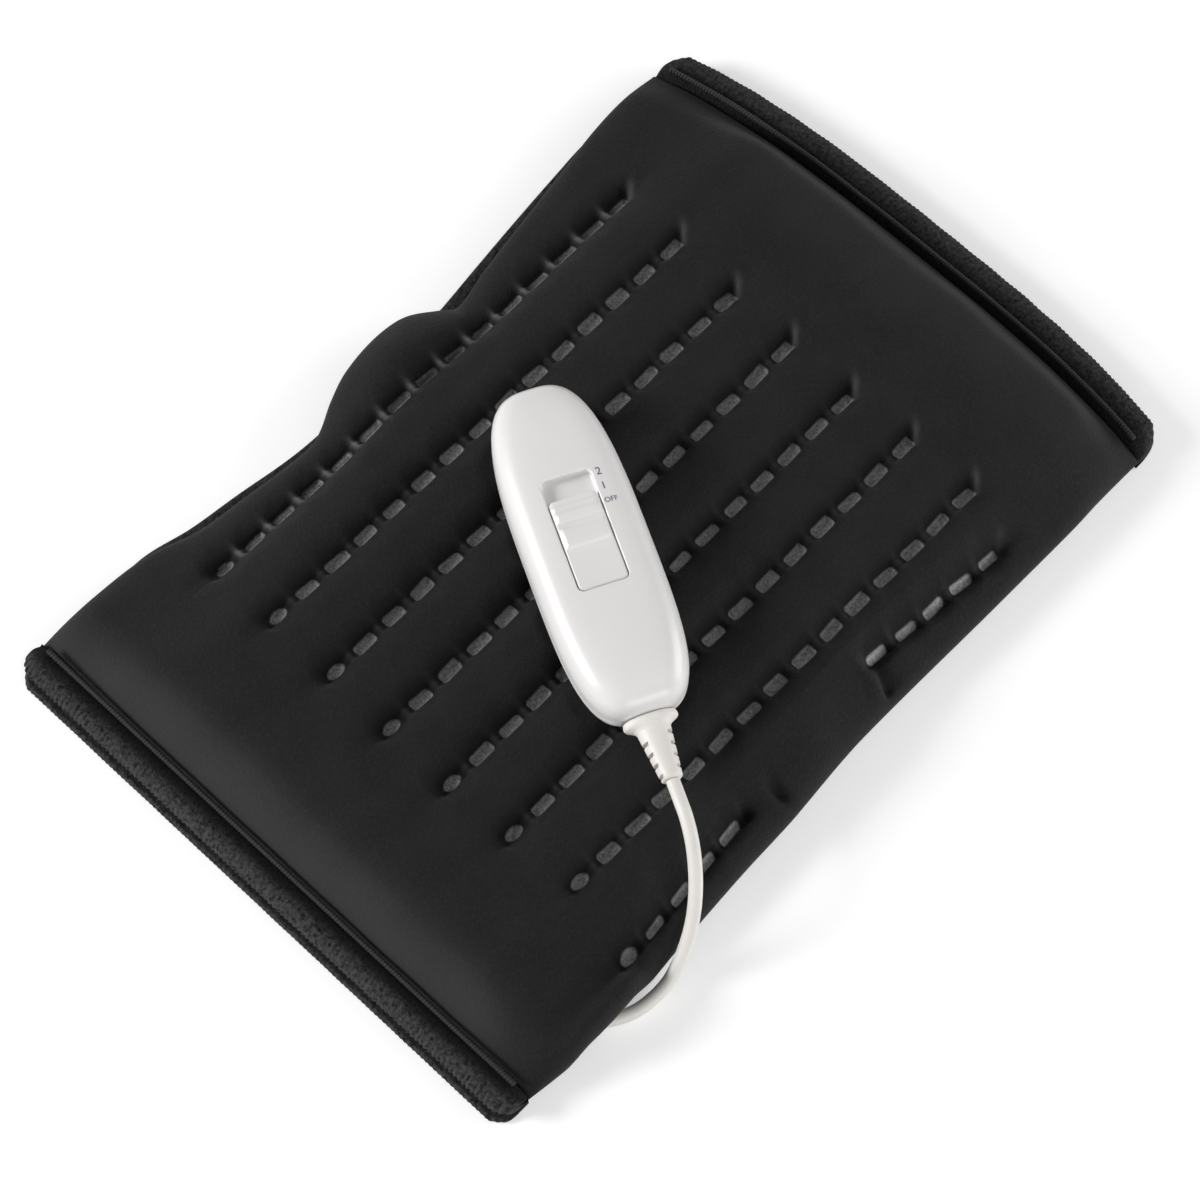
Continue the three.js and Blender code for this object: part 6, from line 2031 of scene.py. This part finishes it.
@dataclass
class Studio:
    """Camera at the photograph's angle, soft lamps, and a plain pale floor. Camera in millimetres,
    the rest in metres."""

    lens: float = 105.0
    place: Point = (-337.3, -315.7, 1026.8)
    aim: Point = (-13.4, -9.0, 0.0)
    lamps: tuple[tuple[str, Point, float, float], ...] = (
        ("key", (-1.25, 1.15, 0.9), 0.7, 32.0), ("fill", (0.7, -0.9, 1.6), 1.4, 3.0),
        ("front", (-0.5, -1.6, 0.4), 1.1, 12.0), ("rim", (1.35, -0.9, 0.4), 1.1, 16.0),
    )
    world_light: float = 0.2
    floor_half: float = 4.0
    floor_level: float = -2e-4
    floor_glow: float = 0.4
    paper: str = "#e9e9e9"
    paper_tooth: float = 900.0
    white_from: Pair = (0.4, 0.9)

    def camera(self) -> None:
        """Makes the camera."""
        data = bpy.data.cameras.new("camera")
        data.lens, data.sensor_width, data.clip_start, data.clip_end = self.lens, 36.0, 0.05, 20.0
        eye = new_object("camera", data)
        aim, place = Vector(self.aim), Vector(self.place)
        eye.location = place * MM
        eye.rotation_euler = (aim - place).to_track_quat("-Z", "Y").to_euler()
        bpy.context.scene.camera = eye

    def lamp(self, name: str, place: Point, size: float, watts: float) -> None:
        """Adds a square area lamp that faces the pad.

        Args:
            name: its name.
            place: its place.
            size: its side.
            watts: its power.
        """
        data = bpy.data.lights.new(name, "AREA")
        data.energy, data.size = watts, size
        lamp = new_object(name, data)
        lamp.location = place
        lamp.rotation_euler = (-Vector(place)).to_track_quat("-Z", "Y").to_euler()

    def shown(self, tree: Tree) -> Socket:
        """One for rays from the camera and through gloss or glass, and nought for light's own.

        Args:
            tree: the node tree.

        Returns:
            The value.
        """
        rays = add_node(tree, "LightPath").node.outputs
        two = add_node(tree, "Math", (rays["Is Camera Ray"], rays["Is Glossy Ray"]), operation="MAXIMUM")
        return add_node(tree, "Math", (two, rays["Is Transmission Ray"]), operation="MAXIMUM")

    def world(self) -> None:
        """Makes the world, white to the camera and in reflections and dim as a light."""
        world = bpy.data.worlds.new("studio")
        bpy.context.scene.world = world
        tree = empty_tree(world)
        strength = add_node(tree, "MapRange", {
            "Value": self.shown(tree), "To Min": self.world_light, "To Max": 1.0})
        shade = add_node(tree, "Background", {"Color": linear("#ffffff"), "Strength": strength})
        add_node(tree, "OutputWorld", {"Surface": shade})

    def floor(self) -> None:
        """Makes the floor. It looks white to the camera and in reflections, and keeps the shadow
        near the pad: a grey paper with some glow, which fades to white further out."""
        matt = bpy.data.materials.new("white_paper_floor")
        tree = empty_tree(matt)
        seen, white = self.shown(tree), linear("#ffffff")
        place = add_node(tree, "TexCoord", output="Object")
        tooth = add_node(tree, "TexNoise", {"Vector": place, "Scale": self.paper_tooth, "Detail": 2.0})
        bump = add_node(tree, "Bump", {"Height": tooth, "Distance": 2e-5})
        paper = add_node(tree, "BsdfDiffuse", {"Color": linear(self.paper), "Normal": bump})
        lift = add_node(tree, "Math", (seen, self.floor_glow), operation="MULTIPLY")
        glow = add_node(tree, "Emission", {"Color": white, "Strength": lift})
        near = add_node(tree, "AddShader", (paper, glow))
        reach = add_node(tree, "VectorMath", (place,), "Value", operation="LENGTH")
        far = add_node(tree, "MapRange", (reach, *self.white_from))
        share = add_node(tree, "Math", (far, seen), operation="MULTIPLY")
        plain = add_node(tree, "Emission", {"Color": white, "Strength": 1.0})
        add_node(tree, "OutputMaterial", {"Surface": add_node(tree, "MixShader", (share, near, plain))})
        mesh = bpy.data.meshes.new("floor")
        corners = ((-1, -1), (1, -1), (1, 1), (-1, 1))
        mesh.from_pydata([(u * self.floor_half, v * self.floor_half, self.floor_level)
                          for u, v in corners], [], [(0, 1, 2, 3)])
        mesh.materials.append(matt)
        new_object("floor", mesh)

    def build(self) -> None:
        """Makes the camera, the lamps, the world and the floor."""
        self.camera()
        for name, place, size, watts in self.lamps:
            self.lamp(name, place, size, watts)
        self.world()
        self.floor()
        bpy.context.scene.view_settings.view_transform = "Standard"
        log.info("studio: camera and lamps")


def main() -> None:
    """Builds every sub-assembly in order."""
    logging.basicConfig(level=logging.INFO, format="%(message)s")
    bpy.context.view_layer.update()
    Studio().build()
    form = PadForm()
    control = HandControl(form)
    Lead(control).build()
    QuiltedFront(form).build()
    PadBack(form).build()
    for end in End:
        EndBand(form, end).build()
    control.build()
    InnerWorks().dress()


if __name__ == "__main__":
    main()
